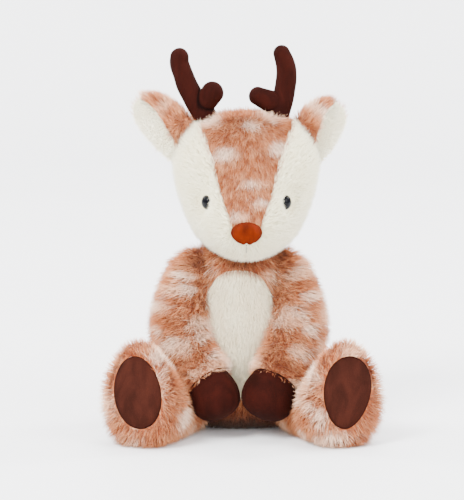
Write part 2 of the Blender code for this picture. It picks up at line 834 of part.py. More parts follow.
def add_antlers(head, pivot):
    """Suede covers, open where they meet the head, each round its own stuffing."""
    whole = {}
    for side, sign in SIDES.items():
        rows = smooth_rows(ANTLER_BEAM_SHARES[side], ANTLER_BEAM_RINGS)
        beam = antler_path(rows, side, sign, ANTLER_RADIUS)
        rows = smooth_rows(ANTLER_TINE_SHARES[side], ANTLER_TINE_RINGS)
        tine = antler_path(rows, side, sign, TINE_RADIUS)
        cover = rounded_tube(beam, 0.0, ANTLER_SIDES, False)
        cover = join(cover, rounded_tube(tine, 0.0, ANTLER_SIDES, True))
        whole[side] = cover.copy()
        thin = SUEDE_SKIN + GAP
        core = rounded_tube(beam, thin, ANTLER_SIDES, False)
        core = join(core, rounded_tube(tine, thin, ANTLER_SIDES, True))
        room = rounded_tube(beam, SUEDE_SKIN, ANTLER_SIDES, True)
        room = join(room, rounded_tube(tine, SUEDE_SKIN, ANTLER_SIDES, True))
        scalp = offset_copy(head, GAP)
        cover = cut_away(cover, room, scalp)
        add_piece("antler_" + side, cover, "brown_suede", pivot)
        core = cut_away(core, scalp)
        add_piece("antler_stuffing_" + side, core, "white_fibre", pivot)
    return whole


def ear_section(half_width, fold, front_share):
    """Across the ear, from the front edge round the fold to the rear edge."""
    least = EAR_LEAST_WALL_SHARE * fold
    front = max(2 * half_width * front_share, least)
    rear = max(2 * half_width, least)
    section = []
    for k in range(EAR_WALL_POINTS):
        reach = front + (fold - front) * k / EAR_WALL_POINTS
        section.append(Vector((reach, fold)))
    for k in range(EAR_FOLD_POINTS + 1):
        angle = math.pi * k / EAR_FOLD_POINTS
        section.append(Vector((fold - fold * math.sin(angle), fold * math.cos(angle))))
    for k in range(1, EAR_WALL_POINTS + 1):
        reach = fold + (rear - fold) * k / EAR_WALL_POINTS
        section.append(Vector((reach, -fold)))
    return section


def inset_section(section, distance):
    """The section moved into the cup, square to itself."""
    moved = []
    last = len(section) - 1
    for k, point in enumerate(section):
        along = section[min(k + 1, last)] - section[max(k - 1, 0)]
        inward = Vector((-along.y, along.x)).normalized()
        moved.append(point + inward * distance)
    return moved


def ear_layer(name, side, sign, near, far):
    """One fabric layer of the ear, between two distances from its outer face."""
    lean = math.radians(EAR_LEAN_DEG[side])
    along = Vector((sign * math.sin(lean), 0.0, math.cos(lean)))
    upper = Vector((-sign * math.cos(lean), 0.0, math.sin(lean)))
    base = ear_hinge(sign)
    rings = []
    for row in smooth_rows(EAR_OUTLINE_SHARES, EAR_RINGS):
        length, width, fold_share, front_share = row
        half_width = width * EAR_HALF_WIDTH
        fold = fold_share * EAR_FOLD_RADIUS
        section = ear_section(half_width, fold, front_share)
        outer = inset_section(section, near * fold_share)
        inner = inset_section(section, far * fold_share)
        spine = base + along * (length * EAR_LENGTH[side]) + upper * half_width
        ring = []
        for point in outer + inner[::-1]:
            ring.append(spine - upper * point.x - Y_AXIS * point.y)
        rings.append(ring)
    return closed_loft(name, rings)


def ear_hinge(sign):
    return Vector((HEAD_X + sign * EAR_BASE_X, EAR_BASE_Y, EAR_BASE_Z))


def add_ears(head, antlers, neck):
    """Fur back and smooth lining of each ear, clear of head and antler as they fold."""
    lining_near = EAR_BACK_SKIN + GAP
    for side, sign in SIDES.items():
        pivot_point = ear_hinge(sign)
        axis = ear_axis(sign)
        pivot = add_pivot("ear_joint_" + side, pivot_point, neck)
        angles = [EAR_BEND_DEG * share for share in (0.0, -1.0, -0.5, 0.5, 1.0)]
        clearance = swept_clearance(head, GAP, pivot_point, axis, angles)
        clearance += swept_clearance(antlers[side], GAP, pivot_point, axis, angles)
        back = make_room(ear_layer("back", side, sign, 0.0, EAR_BACK_SKIN), clearance)
        add_piece("ear_back_" + side, back, "tan_fur", pivot)
        lining_far = lining_near + EAR_LINING_SKIN
        lining = make_room(ear_layer("lining", side, sign, lining_near, lining_far), clearance)
        add_piece("ear_lining_" + side, lining, "cream_plush", pivot)


def ear_axis(sign):
    """The seam line of the ear on the head, up and towards the crown."""
    lean = math.radians(EAR_SEAM_LEAN_DEG)
    return Vector((-sign * math.sin(lean), 0.0, math.cos(lean)))


def arm_path(side, sign):
    """Centres and radii of the sleeve from the shoulder to the wrist."""
    sleeve = []
    for out, ahead, down, radius in ARM_PATH_SHARES:
        x = sign * (SHOULDER_X - ARM_TUCK[side] + out * ARM_SPREAD)
        z = SHOULDER_Z - down * ARM_DROP
        sleeve.append([x, SHOULDER_Y - ahead * ARM_REACH, z, radius * ARM_RADIUS])
    sleeve[-1][0] = sign * (HAND_X[side] + HOOF_TURN_IN)
    rows = smooth_rows(sleeve, ARM_RINGS)
    rows[0][3] = 0.0
    return [Vector(row[:3]) for row in rows], [row[3] for row in rows]


def hoof_path(side, sign, wrist):
    """Centres and radii of the hoof from the wrist to its tip."""
    drop = math.sqrt(HOOF_LENGTH ** 2 - HOOF_REACH ** 2 - HOOF_TURN_IN ** 2)
    along = Vector((-sign * HOOF_TURN_IN, -HOOF_REACH, -drop)).normalized()
    rows = smooth_rows(HOOF_PROFILE_SHARES, HOOF_RINGS)
    centres = [wrist + along * (row[0] * HOOF_LENGTH) for row in rows]
    radii = [max(row[1], 0.0) * HOOF_RADIUS[side] for row in rows]
    radii[-1] = 0.0
    return centres, radii


def inner_rings(frames, radii, thin, sides):
    """Rings a fabric's thickness inside the rings on a path, up to its round tip."""
    rings = []
    last = len(frames) - 1
    for k in range(last):
        centre, direction, first, second = frames[k]
        run = (frames[k + 1][0] - frames[max(k - 1, 0)][0]).length
        slope = math.atan2(radii[max(k - 1, 0)] - radii[k + 1], run)
        radius = radii[k] - thin * math.cos(slope)
        centre = centre - direction * (thin * math.sin(slope))
        if radius > thin:
            rings.append(oval(centre, first, radius, second, radius, sides))
    tip, direction = frames[last][:2]
    rings.append([tip - direction * thin])
    return rings


def arm_stuffing(frames, sleeve_radii, hoof_radii):
    """One soft core that runs through the sleeve, the wrist and the hoof."""
    wrist = len(sleeve_radii) - 1
    radii = [radius - FUR_SKIN - GAP for radius in sleeve_radii[:wrist]]
    first = next(k for k, radius in enumerate(radii) if radius > FUR_SKIN / 2)
    rings = [[frames[first - 1][0]]] + rings_on(frames[first:wrist], radii[first:], ARM_SIDES)
    rings += inner_rings(frames[wrist:], hoof_radii, SUEDE_SKIN + GAP, ARM_SIDES)
    return closed_loft("core", rings)


def add_arms(body, legs):
    """Fur sleeve, suede hoof and the stuffing that fills both."""
    for side, sign in SIDES.items():
        pivot_point = Vector((sign * SHOULDER_X, SHOULDER_Y, SHOULDER_Z))
        pivot = add_pivot("shoulder_" + side, pivot_point)
        centres, radii = arm_path(side, sign)
        hoof_centres, hoof_radii = hoof_path(side, sign, centres[-1])
        frames = path_frames(centres + hoof_centres[1:], X_AXIS)
        wrist = len(centres) - 1
        sleeve = closed_loft("sleeve", rings_on(frames[:wrist + 1], radii, ARM_SIDES))
        hoof = closed_loft("hoof", rings_on(frames[wrist:], hoof_radii, ARM_SIDES, GAP))
        core = arm_stuffing(frames, radii, hoof_radii)
        room = offset_copy(core, GAP)
        angles = [ARM_SWING_DEG * share for share in (0.0, 0.25, 0.5, 0.75, 1.0)]
        clearance = swept_clearance(body, MOVING_GAP, pivot_point, X_AXIS, angles)
        for leg in legs.values():
            clearance += swept_clearance(leg, MOVING_GAP, pivot_point, X_AXIS, angles[:3])
        sleeve = make_room(cut_away(sleeve, room), clearance)
        add_piece("arm_" + side, sleeve, "tan_fur", pivot)
        hoof = make_room(cut_away(hoof, room), clearance)
        add_piece("hoof_" + side, hoof, "brown_suede", pivot)
        add_piece("arm_stuffing_" + side, make_room(core, clearance), "white_fibre", pivot)


def broader_below(point, centre, half_height, across):
    """A ring's point, drawn in above its centre and let out below it."""
    rise = (point.z - centre.z) / half_height
    return point - across * ((point - centre).dot(across) * LEG_FULLNESS_SHARE * rise)


def leg_form(sign):
    """The leg lies along the floor; its level rings stand upright across it."""
    splay = math.radians(LEG_SPLAY_DEG)
    along = Vector((sign * math.sin(splay), -math.cos(splay), 0.0))
    across = Vector((along.y, -along.x, 0.0))
    hip = Vector((sign * HIP_X, HIP_Y, -SEAT_CUT))
    rings = []
    rows = smooth_rows(LEG_OUTLINE_SHARES, LEG_RINGS)
    rows[0] = LEG_OUTLINE_SHARES[0]
    for length, width, low, high in rows:
        half_height = 0.5 * (high - low) * FOOT_HEIGHT
        centre = hip + along * (length * LEG_LENGTH)
        centre += Z_AXIS * (0.5 * (high + low) * FOOT_HEIGHT)
        if width <= 0:
            rings.append([centre])
        else:
            ring = oval(centre, Z_AXIS, half_height, across, width * LEG_HALF_WIDTH, LEG_SIDES)
            rings.append([broader_below(point, centre, half_height, across) for point in ring])
    return closed_loft("leg_form", rings), hip, along, across


def sole_rings(side, hip, along, across, inset, low, high, crown):
    """An egg-shaped plate across the leg's end, from low to high along the leg."""
    tilt = math.radians(SOLE_TILT_DEG) * SIDES[side]
    over = across * math.cos(tilt) + Z_AXIS * math.sin(tilt)
    up = Z_AXIS * math.cos(tilt) - across * math.sin(tilt)
    middle = hip + Z_AXIS * (SOLE_Z + SEAT_CUT)
    rings = []
    levels = [(low, 1.0), (high, 1.0)]
    if crown:
        levels += [(high + crown * rise, share) for rise, share in SOLE_CROWN_SHARES]
    for distance, share in levels:
        centre = middle + along * distance
        if not share:
            rings.append([centre])
            continue
        ring = []
        for k in range(SOLE_POINTS):
            angle = 2 * math.pi * k / SOLE_POINTS
            fullness = 1.0 + SOLE_FULLNESS_SHARE[side] * math.cos(angle)
            wide = (SOLE_HALF_WIDTH - inset) * math.sin(angle) * fullness
            tall = (SOLE_HALF_HEIGHT - inset) * math.cos(angle)
            ring.append(centre + over * (wide * share) + up * (tall * share))
        rings.append(ring)
    return rings


def add_legs(body, legs):
    """Fur sleeve open at the sole, the suede sole that closes it, and the stuffing."""
    for side, sign in SIDES.items():
        form, hip, along, across = leg_form(sign)
        outer = legs[side]
        pivot_point = Vector((sign * HIP_X, HIP_Y, 0.0))
        pivot = add_pivot("hip_" + side, pivot_point)
        core_room = offset_copy(form, -FUR_SKIN)
        core = offset_copy(form, -FUR_SKIN - GAP)
        sole_low = LEG_LENGTH - SOLE_THICKNESS
        hole = closed_loft("hole", sole_rings(
            side, hip, along, across, -GAP, LEG_LENGTH - 2 * FUR_SKIN, LEG_LENGTH + OVERRUN, 0.0
        ))
        sleeve = cut_away(outer, core_room, hole)
        angles = [-sign * LEG_SWING_DEG * share for share in (0.0, 0.5, 1.0)]
        clearance = swept_clearance(body, MOVING_GAP, pivot_point, Z_AXIS, angles)
        add_piece("leg_" + side, make_room(sleeve, clearance), "tan_fur", pivot)
        sole = closed_loft("sole", sole_rings(
            side, hip, along, across, 0.0, sole_low, LEG_LENGTH, SOLE_CROWN
        ))
        add_piece("sole_" + side, sole, "brown_suede", pivot)
        core = make_room(core, clearance)
        behind = closed_loft("behind", sole_rings(
            side, hip, along, across, -GAP, sole_low - GAP, LEG_LENGTH + OVERRUN, 0.0
        ))
        add_piece("leg_stuffing_" + side, cut_away(core, behind), "white_fibre", pivot)


def add_tail(body):
    """A short fur tail that springs up from the back of the seat."""
    rise = math.radians(TAIL_RISE_DEG)
    along = Vector((0.0, math.cos(rise), math.sin(rise)))
    root, _ = on_surface(body, 0.0, TAIL_Z, -Y_AXIS)
    rows = smooth_rows(TAIL_OUTLINE_SHARES, TAIL_RINGS)
    centres = [root + along * (row[0] * TAIL_LENGTH - TAIL_SINK) for row in rows]
    radii = [row[1] * TAIL_RADIUS for row in rows]
    radii[-1] = 0.0
    form = closed_loft("tail", tube_rings(centres, radii, X_AXIS, TAIL_SIDES))
    angles = [TAIL_BEND_DEG * share for share in (0.0, -1.0, 1.0)]
    clearance = swept_clearance(body, GAP, root, X_AXIS, angles)
    pivot = add_pivot("tail_joint", root)
    add_piece("tail", make_room(form, clearance), "tan_fur", pivot)


def main():
    clear_scene()
    body = body_form()
    floor_body = stand_on_floor(body.copy())
    head = head_form()
    legs = {side: stand_on_floor(leg_form(sign)[0]) for side, sign in SIDES.items()}
    neck = add_pivot("neck", Vector((0.0, BODY_Y, NECK_OPENING_Z)))
    add_body(body, floor_body)
    add_head(head, body, neck)
    add_nose(head, neck)
    antlers = add_antlers(head, neck)
    add_ears(head, antlers, neck)
    add_legs(body, legs)
    add_arms(body, legs)
    add_tail(body)


main()
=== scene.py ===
"""Looks of the seated plush deer: pile, plush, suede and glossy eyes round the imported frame.

Lengths are in metres. The deer faces -Y and +X is its own left side.
"""
import math

import bmesh
import bpy
import numpy as np
from mathutils import Matrix, Vector, noise
from mathutils.bvhtree import BVHTree


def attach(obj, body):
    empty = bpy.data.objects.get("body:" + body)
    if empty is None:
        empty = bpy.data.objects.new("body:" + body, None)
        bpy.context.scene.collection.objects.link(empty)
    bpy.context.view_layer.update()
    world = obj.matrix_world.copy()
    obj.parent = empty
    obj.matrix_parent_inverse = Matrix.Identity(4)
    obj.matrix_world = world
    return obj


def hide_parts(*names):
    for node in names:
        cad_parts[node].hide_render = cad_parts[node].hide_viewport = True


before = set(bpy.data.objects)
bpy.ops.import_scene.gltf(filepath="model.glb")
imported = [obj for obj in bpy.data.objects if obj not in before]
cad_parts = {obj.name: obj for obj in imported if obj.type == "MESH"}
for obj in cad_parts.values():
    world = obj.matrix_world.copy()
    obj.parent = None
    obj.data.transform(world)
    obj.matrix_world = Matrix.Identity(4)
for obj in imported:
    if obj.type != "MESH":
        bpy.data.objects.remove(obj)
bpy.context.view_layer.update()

SIDES = {"left": 1.0, "right": -1.0}
X_AXIS = Vector((1.0, 0.0, 0.0))
Y_AXIS = Vector((0.0, 1.0, 0.0))
Z_AXIS = Vector((0.0, 0.0, 1.0))

# Fabrics and the room left between neighbours
GAP = 0.0003
MOVING_GAP = 0.0006
SEAM = 0.00005
FUR_SKIN = 0.0040
TUMMY_SKIN = 0.0032
FACE_SKIN = 0.0026
SUEDE_SKIN = 0.0014
SEAT_CUT = 0.0005
OVERRUN = 0.030

# Meshes: below this radius a ring is a single point, and above this angle an edge looks sharp
POLE_RADIUS = 1e-9
SHARP_EDGE_DEG = 40.0

# Body
BODY_HEIGHT = 0.1450
BODY_HALF_WIDTH = 0.0510
BODY_FRONT_DEPTH = 0.0430
BODY_BACK_DEPTH = 0.0450
BODY_Y = 0.0060
BODY_SEAM_X = -0.0020
BODY_RINGS = 60
BODY_SIDES = 88
# height, half width, front depth, back depth, and how pointed the front of the ring is
BODY_OUTLINE_SHARES = (
    (0.000, 0.56, 0.36, 0.58, 1.0), (0.024, 0.77, 0.52, 0.77, 1.0), (0.070, 0.91, 0.69, 0.90, 1.0),
    (0.155, 0.99, 0.86, 0.98, 1.0), (0.265, 1.00, 0.96, 1.00, 1.0), (0.380, 0.97, 0.99, 0.98, 1.0),
    (0.520, 0.89, 0.94, 0.91, 1.0), (0.655, 0.78, 0.84, 0.80, 1.0), (0.775, 0.67, 0.74, 0.69, 1.0),
    (0.865, 0.57, 0.66, 0.60, 1.0), (0.925, 0.47, 0.557, 0.533, 1.0),
    (0.970, 0.31, 0.367, 0.351, 1.0), (1.000, 0.00, 0.00, 0.00, 1.0),
)
NECK_OPENING_Z = 0.1370
# Painted shade under the chin: the torso's fur darkens from this height up, this strongly
COLLAR_Z = 0.1190
COLLAR_PAINTED_SHADE = 0.7
# Painted shadow on the seat's front: the fur darkens below this height, this strongly
SEAT_SHADE_HEIGHT = 0.0280
SEAT_PAINTED_SHADE = 2.4
BODY_SPOTS_Y = -0.0180
BODY_SPOTS_X = 0.0360
BODY_COMB_DROP_SHARE = 0.85
TUMMY_X = -0.0020
TUMMY_HALF_WIDTH = 0.0250
TUMMY_HALF_HEIGHT = 0.0450
TUMMY_Z = 0.0750
TUMMY_POINTS = 72
TUMMY_ROUNDING_SHARE = 0.70
TUMMY_FULLNESS_SHARE = 0.10
PELLET_HALF_WIDTH = 0.0300
PELLET_HALF_DEPTH = 0.0260
PELLET_HALF_HEIGHT = 0.0090
PELLET_SET_BACK = 0.0045
PELLET_Z = FUR_SKIN + GAP + PELLET_HALF_HEIGHT
PELLET_RINGS = 16
PELLET_SIDES = 40

# Head
HEAD_X = 0.0030
HEAD_Y = 0.0020
HEAD_BASE_Z = 0.1300
HEAD_HEIGHT = 0.1035
HEAD_HALF_WIDTH = 0.0515
HEAD_FRONT_DEPTH = 0.0670
HEAD_BACK_DEPTH = 0.0490
HEAD_RINGS = 64
HEAD_SIDES = 120
# height, half width, front depth, back depth, and how pointed the front of the ring is
HEAD_OUTLINE_SHARES = (
    (0.000, 0.00, 0.00, 0.00, 1.20), (0.039, 0.33, 0.60, 0.36, 1.20),
    (0.087, 0.51, 0.79, 0.54, 1.20), (0.164, 0.67, 0.925, 0.70, 1.25),
    (0.227, 0.74, 0.985, 0.78, 1.30), (0.309, 0.815, 0.975, 0.86, 1.30),
    (0.435, 0.90, 0.885, 0.93, 1.20), (0.560, 0.955, 0.775, 0.985, 1.10),
    (0.676, 0.97, 0.675, 1.00, 1.00), (0.802, 0.90, 0.54, 0.94, 1.00),
    (0.889, 0.765, 0.41, 0.82, 1.00), (0.947, 0.585, 0.29, 0.63, 1.00),
    (0.981, 0.36, 0.17, 0.40, 1.00), (1.000, 0.00, 0.00, 0.00, 1.00),
)
# The forehead's edge, from under the nose to the crown: height and half width
FOREHEAD_EDGE_SHARES = (
    (0.200, 0.17), (0.304, 0.215), (0.434, 0.315), (0.558, 0.385), (0.684, 0.45), (0.807, 0.55),
    (0.956, 0.68),
)
FOREHEAD_EDGE_POINTS = 24
CROWN_SEAM_Y = 0.0060
HEAD_SEAM_REACH = 0.0180
HEAD_SPOTS_Y = 0.0120
CROWN_COMB_START_SHARE = 0.6
CROWN_COMB_DROP_SHARE = 0.4
SEAM_PILE_SHARE = 0.45
SEAM_PILE_GAIN = 0.5
NOSE_COMB_ASIDE = 6.0
NOSE_COMB_AHEAD = 0.3
NOSE_PILE_GAIN = 1.6
CHEEK_EDGE_SHARE = 0.4

# Eyes
EYE_X = 0.0303
EYE_Z = 0.1725
EYE_RADIUS = 0.0053
EYE_DOME = 0.0036
EYE_SHANK_RADIUS = 0.0016
EYE_SHANK_LENGTH = 0.0100
EYE_SIDES = 40
EYE_RINGS = 12
EYE_SOCKET_RADIUS = 0.0105
EYE_SOCKET_DEPTH = 0.0024
EYE_SOCKET_FALLOFF = 2.0
EYE_BARE_SHARE = 0.85
WASHER_RADIUS = 0.0052
WASHER_THICKNESS = 0.0014
WASHER_SINK = 0.0008

# Nose and mouth
NOSE_Z = 0.1533
NOSE_HALF_WIDTH = 0.0114
NOSE_HALF_HEIGHT = 0.0084
NOSE_PROUD = 0.0055
NOSE_RINGS = 28
NOSE_SIDES = 64
NOSE_ROUNDING_SHARE = 0.76
NOSE_FLAT_TOP_SHARE = 0.05
NOSE_TAPER_SHARE = 0.08
NOSE_GATHER_DEPTH = 0.0014
NOSE_GATHER_WIDTH = 0.0042
NOSE_PLEAT_WIDTH = 0.0009
NOSE_PLEAT_LIFT_SHARE = 0.8
MOUTH_STEPS = 8
MOUTH_LENGTH = 0.0065
THREAD_RADIUS = 0.0005
THREAD_SIDES = 10
LIP_GROOVE_HALF_WIDTH = 0.0014
LIP_GROOVE_SHARE = 0.75
LIP_GROOVE_START = -1.0
LIP_GROOVE_END = 1.4

# Antlers
ANTLER_RADIUS = 0.0074
TINE_RADIUS = 0.0086
ANTLER_SIDES = 44
ANTLER_CORE_SIDES = 24
ANTLER_BEAM_RINGS = 48
ANTLER_TINE_RINGS = 20
ANTLER_END_RINGS = 10
ANTLER_BASE_X = {"left": 0.0217, "right": 0.0279}
ANTLER_BASE_Z = 0.2240
ANTLER_RISE = 0.0525
ANTLER_LEAN = 0.0215
ANTLER_BACK = 0.0050
# Painted shade where each antler's beam meets its tine: how wide, and how dark on each side
FORK_SHADE_WIDTH = 0.0011
FORK_SHADE_SHARE = {"left": 0.25, "right": 1.0}
# along the beam: sideways, backwards, upwards, and radius
ANTLER_BEAM_SHARES = {
    "left": (
        (-0.02, 0.0, -0.08, 1.28), (0.08, 0.1, 0.17, 1.20), (0.23, 0.3, 0.35, 1.13),
        (0.33, 0.6, 0.53, 1.08), (0.38, 0.8, 0.71, 1.06), (0.35, 1.0, 0.87, 1.02),
        (0.21, 1.0, 1.03, 0.88),
    ),
    "right": (
        (0.00, 0.0, -0.08, 1.30), (0.14, 0.1, 0.16, 1.24), (0.44, 0.3, 0.36, 1.14),
        (0.72, 0.6, 0.57, 1.10), (0.88, 0.8, 0.74, 1.06), (1.00, 1.0, 0.88, 1.02),
        (1.00, 1.0, 0.98, 0.97),
    ),
}
ANTLER_TINE_SHARES = {
    "left": ((0.14, 0.2, 0.30, 0.90), (-0.14, 0.0, 0.35, 1.00), (-0.60, -0.6, 0.44, 0.84)),
    "right": ((0.25, 0.2, 0.28, 0.90), (0.07, -0.2, 0.37, 0.98), (-0.13, -0.7, 0.49, 1.00)),
}

# Ears
EAR_LENGTH = {"left": 0.0360, "right": 0.0465}
EAR_LEAN_DEG = {"left": 36.0, "right": 46.0}
EAR_BASE_X = 0.0455
EAR_BASE_Y = 0.0040
EAR_BASE_Z = 0.2110
EAR_HALF_WIDTH = 0.0165
EAR_FOLD_RADIUS = 0.0075
EAR_BACK_SKIN = 0.0030
EAR_LINING_SKIN = 0.0020
EAR_WALL_POINTS = 12
EAR_FOLD_POINTS = 14
EAR_RINGS = 26
EAR_LEAST_WALL_SHARE = 1.20
EAR_SEAM_LEAN_DEG = 25.5
EAR_BEND_DEG = 18.0
EAR_COMB_BACK = 0.9
EAR_COMB_TURN = 0.22
EAR_COMB_SPAN = 0.2
EAR_COMB_LEAST_RISE = -0.7
EAR_COMB_DROP = 0.4
LINING_EDGE_SHARE = 0.55
# cream bands across each ear's fur: height, spread and strength
EAR_BANDS = {
    "left": ((0.62, 0.13, 0.95), (0.10, 0.10, 0.4)),
    "right": ((1.02, 0.12, 0.8), (0.60, 0.09, 0.7)),
}
# length, half width, fold radius, and how much of the width the front wall covers
EAR_OUTLINE_SHARES = (
    (-0.50, 0.80, 1.00, 0.68), (0.00, 1.00, 1.00, 0.64), (0.25, 1.02, 1.00, 0.55),
    (0.50, 0.98, 0.94, 0.45), (0.72, 0.86, 0.84, 0.38), (0.88, 0.66, 0.66, 0.35),
    (1.00, 0.34, 0.38, 0.36),
)

# Arms and hooves
SHOULDER_X = 0.0340
SHOULDER_Y = 0.0000
SHOULDER_Z = 0.1160
ARM_SPREAD = 0.0110
ARM_TUCK = {"left": 0.0060, "right": 0.0010}
ARM_REACH = 0.0630
ARM_DROP = 0.0970
ARM_RADIUS = 0.0185
ARM_SIDES = 56
ARM_RINGS = 54
ARM_SWING_DEG = 42.0
ARM_SPOTS_Y = 0.0040
ARM_SIDE_SPOTS_SHARE = 0.4
ARM_COMB_DOWN = 0.75
ARM_COMB_OUT = 0.55
CUFF_COMB_DOWN = 0.10
ARM_COMB_AWAY = 0.3
HAND_X = {"left": 0.0130, "right": 0.0142}
HOOF_RADIUS = {"left": 0.0200, "right": 0.0188}
# outwards, from the shoulder to the hoof; forwards; downwards; radius
ARM_PATH_SHARES = (
    (0.00, -0.02, -0.155, 0.00), (0.00, -0.01, -0.120, 0.42), (0.05, 0.00, -0.030, 0.82),
    (0.30, 0.04, 0.090, 0.95), (0.80, 0.19, 0.250, 1.00), (1.00, 0.36, 0.420, 1.00),
    (0.60, 0.58, 0.600, 0.95), (-0.30, 0.79, 0.765, 0.86),
)
# from wrist to hoof tip: along the hoof, and radius
HOOF_PROFILE_SHARES = (
    (0.00, 0.86), (0.18, 0.96), (0.42, 1.00), (0.66, 0.94), (0.85, 0.75), (0.96, 0.43),
    (1.00, 0.00),
)
HOOF_RINGS = 24
HOOF_LENGTH = 0.0290
HOOF_TURN_IN = 0.0110
HOOF_REACH = 0.0120
CUFF_REACH = 0.0200
CUFF_TRIM_REACH = 0.0070
CUFF_TRIM_SHARE = 0.58

# Legs and soles
HIP_X = 0.0400
HIP_Y = 0.0040
LEG_LENGTH = 0.0950
LEG_SPLAY_DEG = 22.0
LEG_HALF_WIDTH = 0.0240
FOOT_HEIGHT = 0.0750
LEG_SIDES = 72
LEG_RINGS = 60
LEG_SWING_DEG = 20.0
LEG_SPOTS_Y = -0.0700
LEG_SPOTS_Z = 0.0040
LEG_FRONT_Y = -0.0600
LEG_COMB_ALONG = 0.55
LEG_COMB_AWAY = 0.7
# length, half width, lowest and highest
LEG_OUTLINE_SHARES = (
    (0.00, 0.00, 0.33, 0.33), (0.05, 0.50, 0.14, 0.54), (0.15, 0.82, 0.04, 0.64),
    (0.30, 0.93, 0.00, 0.67), (0.50, 0.93, 0.00, 0.66), (0.66, 0.95, 0.00, 0.70),
    (0.79, 1.00, 0.00, 0.82), (0.89, 1.01, 0.00, 0.955), (0.96, 0.97, 0.015, 1.00),
    (1.00, 0.87, 0.065, 0.955),
)
LEG_FULLNESS_SHARE = 0.16
TOP_TRIM_SHARE = 0.30
SOLE_HALF_WIDTH = 0.0185
SOLE_HALF_HEIGHT = 0.0265
SOLE_Z = 0.0400
SOLE_THICKNESS = 0.0030
SOLE_CROWN = 0.0030
SOLE_TILT_DEG = 5.0
SOLE_POINTS = 72
SOLE_RINGS = 10
SOLE_FULLNESS_SHARE = {"left": 0.12, "right": -0.06}

# Tail
TAIL_Z = 0.0360
TAIL_LENGTH = 0.0340
TAIL_RADIUS = 0.0110
TAIL_RISE_DEG = 42.0
TAIL_SINK = 0.0060
TAIL_SIDES = 32
TAIL_RINGS = 26
TAIL_BEND_DEG = 15.0
TAIL_TIP_SHARE = 0.6
# length and radius
TAIL_OUTLINE_SHARES = (
    (0.00, 0.70), (0.20, 0.90), (0.45, 1.00), (0.70, 0.85), (0.88, 0.55), (0.97, 0.28),
    (1.00, 0.00),
)

# Lumps of stuffed goods: how wide, how deep, and where their pattern starts
LUMPS = {
    "body_fibre": (0.0120, 0.0012, 1.0),
    "head_fibre": (0.0120, 0.0012, 2.0),
    "pellet_pillow": (0.0060, 0.0016, 3.0),
    "antler_cover": (0.0090, 0.0005, 4.0),
    "antler_fibre": (0.0060, 0.0006, 5.0),
    "arm_fibre": (0.0090, 0.0008, 6.0),
    "leg_fibre": (0.0100, 0.0010, 7.0),
}

# Pile, with its strands per square metre as density
PILE_SIZES = (
    "Seed", "Density", "Length", "Radius", "Lean", "Clump Size", "Clump Pull", "Droop", "Wildness",
)
PILES = {
    "body_pile": (11, 850000.0, 0.0090, 0.00019, 0.40, 0.0050, 0.45, 0.25, 0.22),
    "tummy_pile": (12, 2600000.0, 0.0072, 0.00017, 0.60, 0.0040, 0.35, 0.30, 0.22),
    "head_back_pile": (21, 1100000.0, 0.0090, 0.00019, 0.58, 0.0050, 0.45, 0.25, 0.22),
    "forehead_pile": (22, 2700000.0, 0.0066, 0.00017, 0.64, 0.0036, 0.30, 0.25, 0.22),
    "cheek_pile": (23, 2200000.0, 0.0064, 0.00018, 0.30, 0.0040, 0.40, 0.25, 0.38),
    "ear_pile": (31, 2300000.0, 0.0064, 0.00017, 0.55, 0.0038, 0.45, 0.25, 0.22),
    "ear_lining_pile": (32, 2800000.0, 0.0034, 0.00017, 0.50, 0.0030, 0.20, 0.10, 0.22),
    "sleeve_pile": (41, 1700000.0, 0.0095, 0.00019, 0.40, 0.0050, 0.45, 0.25, 0.22),
    "leg_pile": (51, 1160000.0, 0.0092, 0.00019, 0.45, 0.0050, 0.45, 0.25, 0.22),
    "tail_pile": (61, 1500000.0, 0.0090, 0.00019, 0.60, 0.0050, 0.45, 0.25, 0.22),
}
PILE_VECTORS = ("root", "up", "gust", "ring", "comb")
STRAND_STEPS = 2
FLOOR_REST = 0.0002
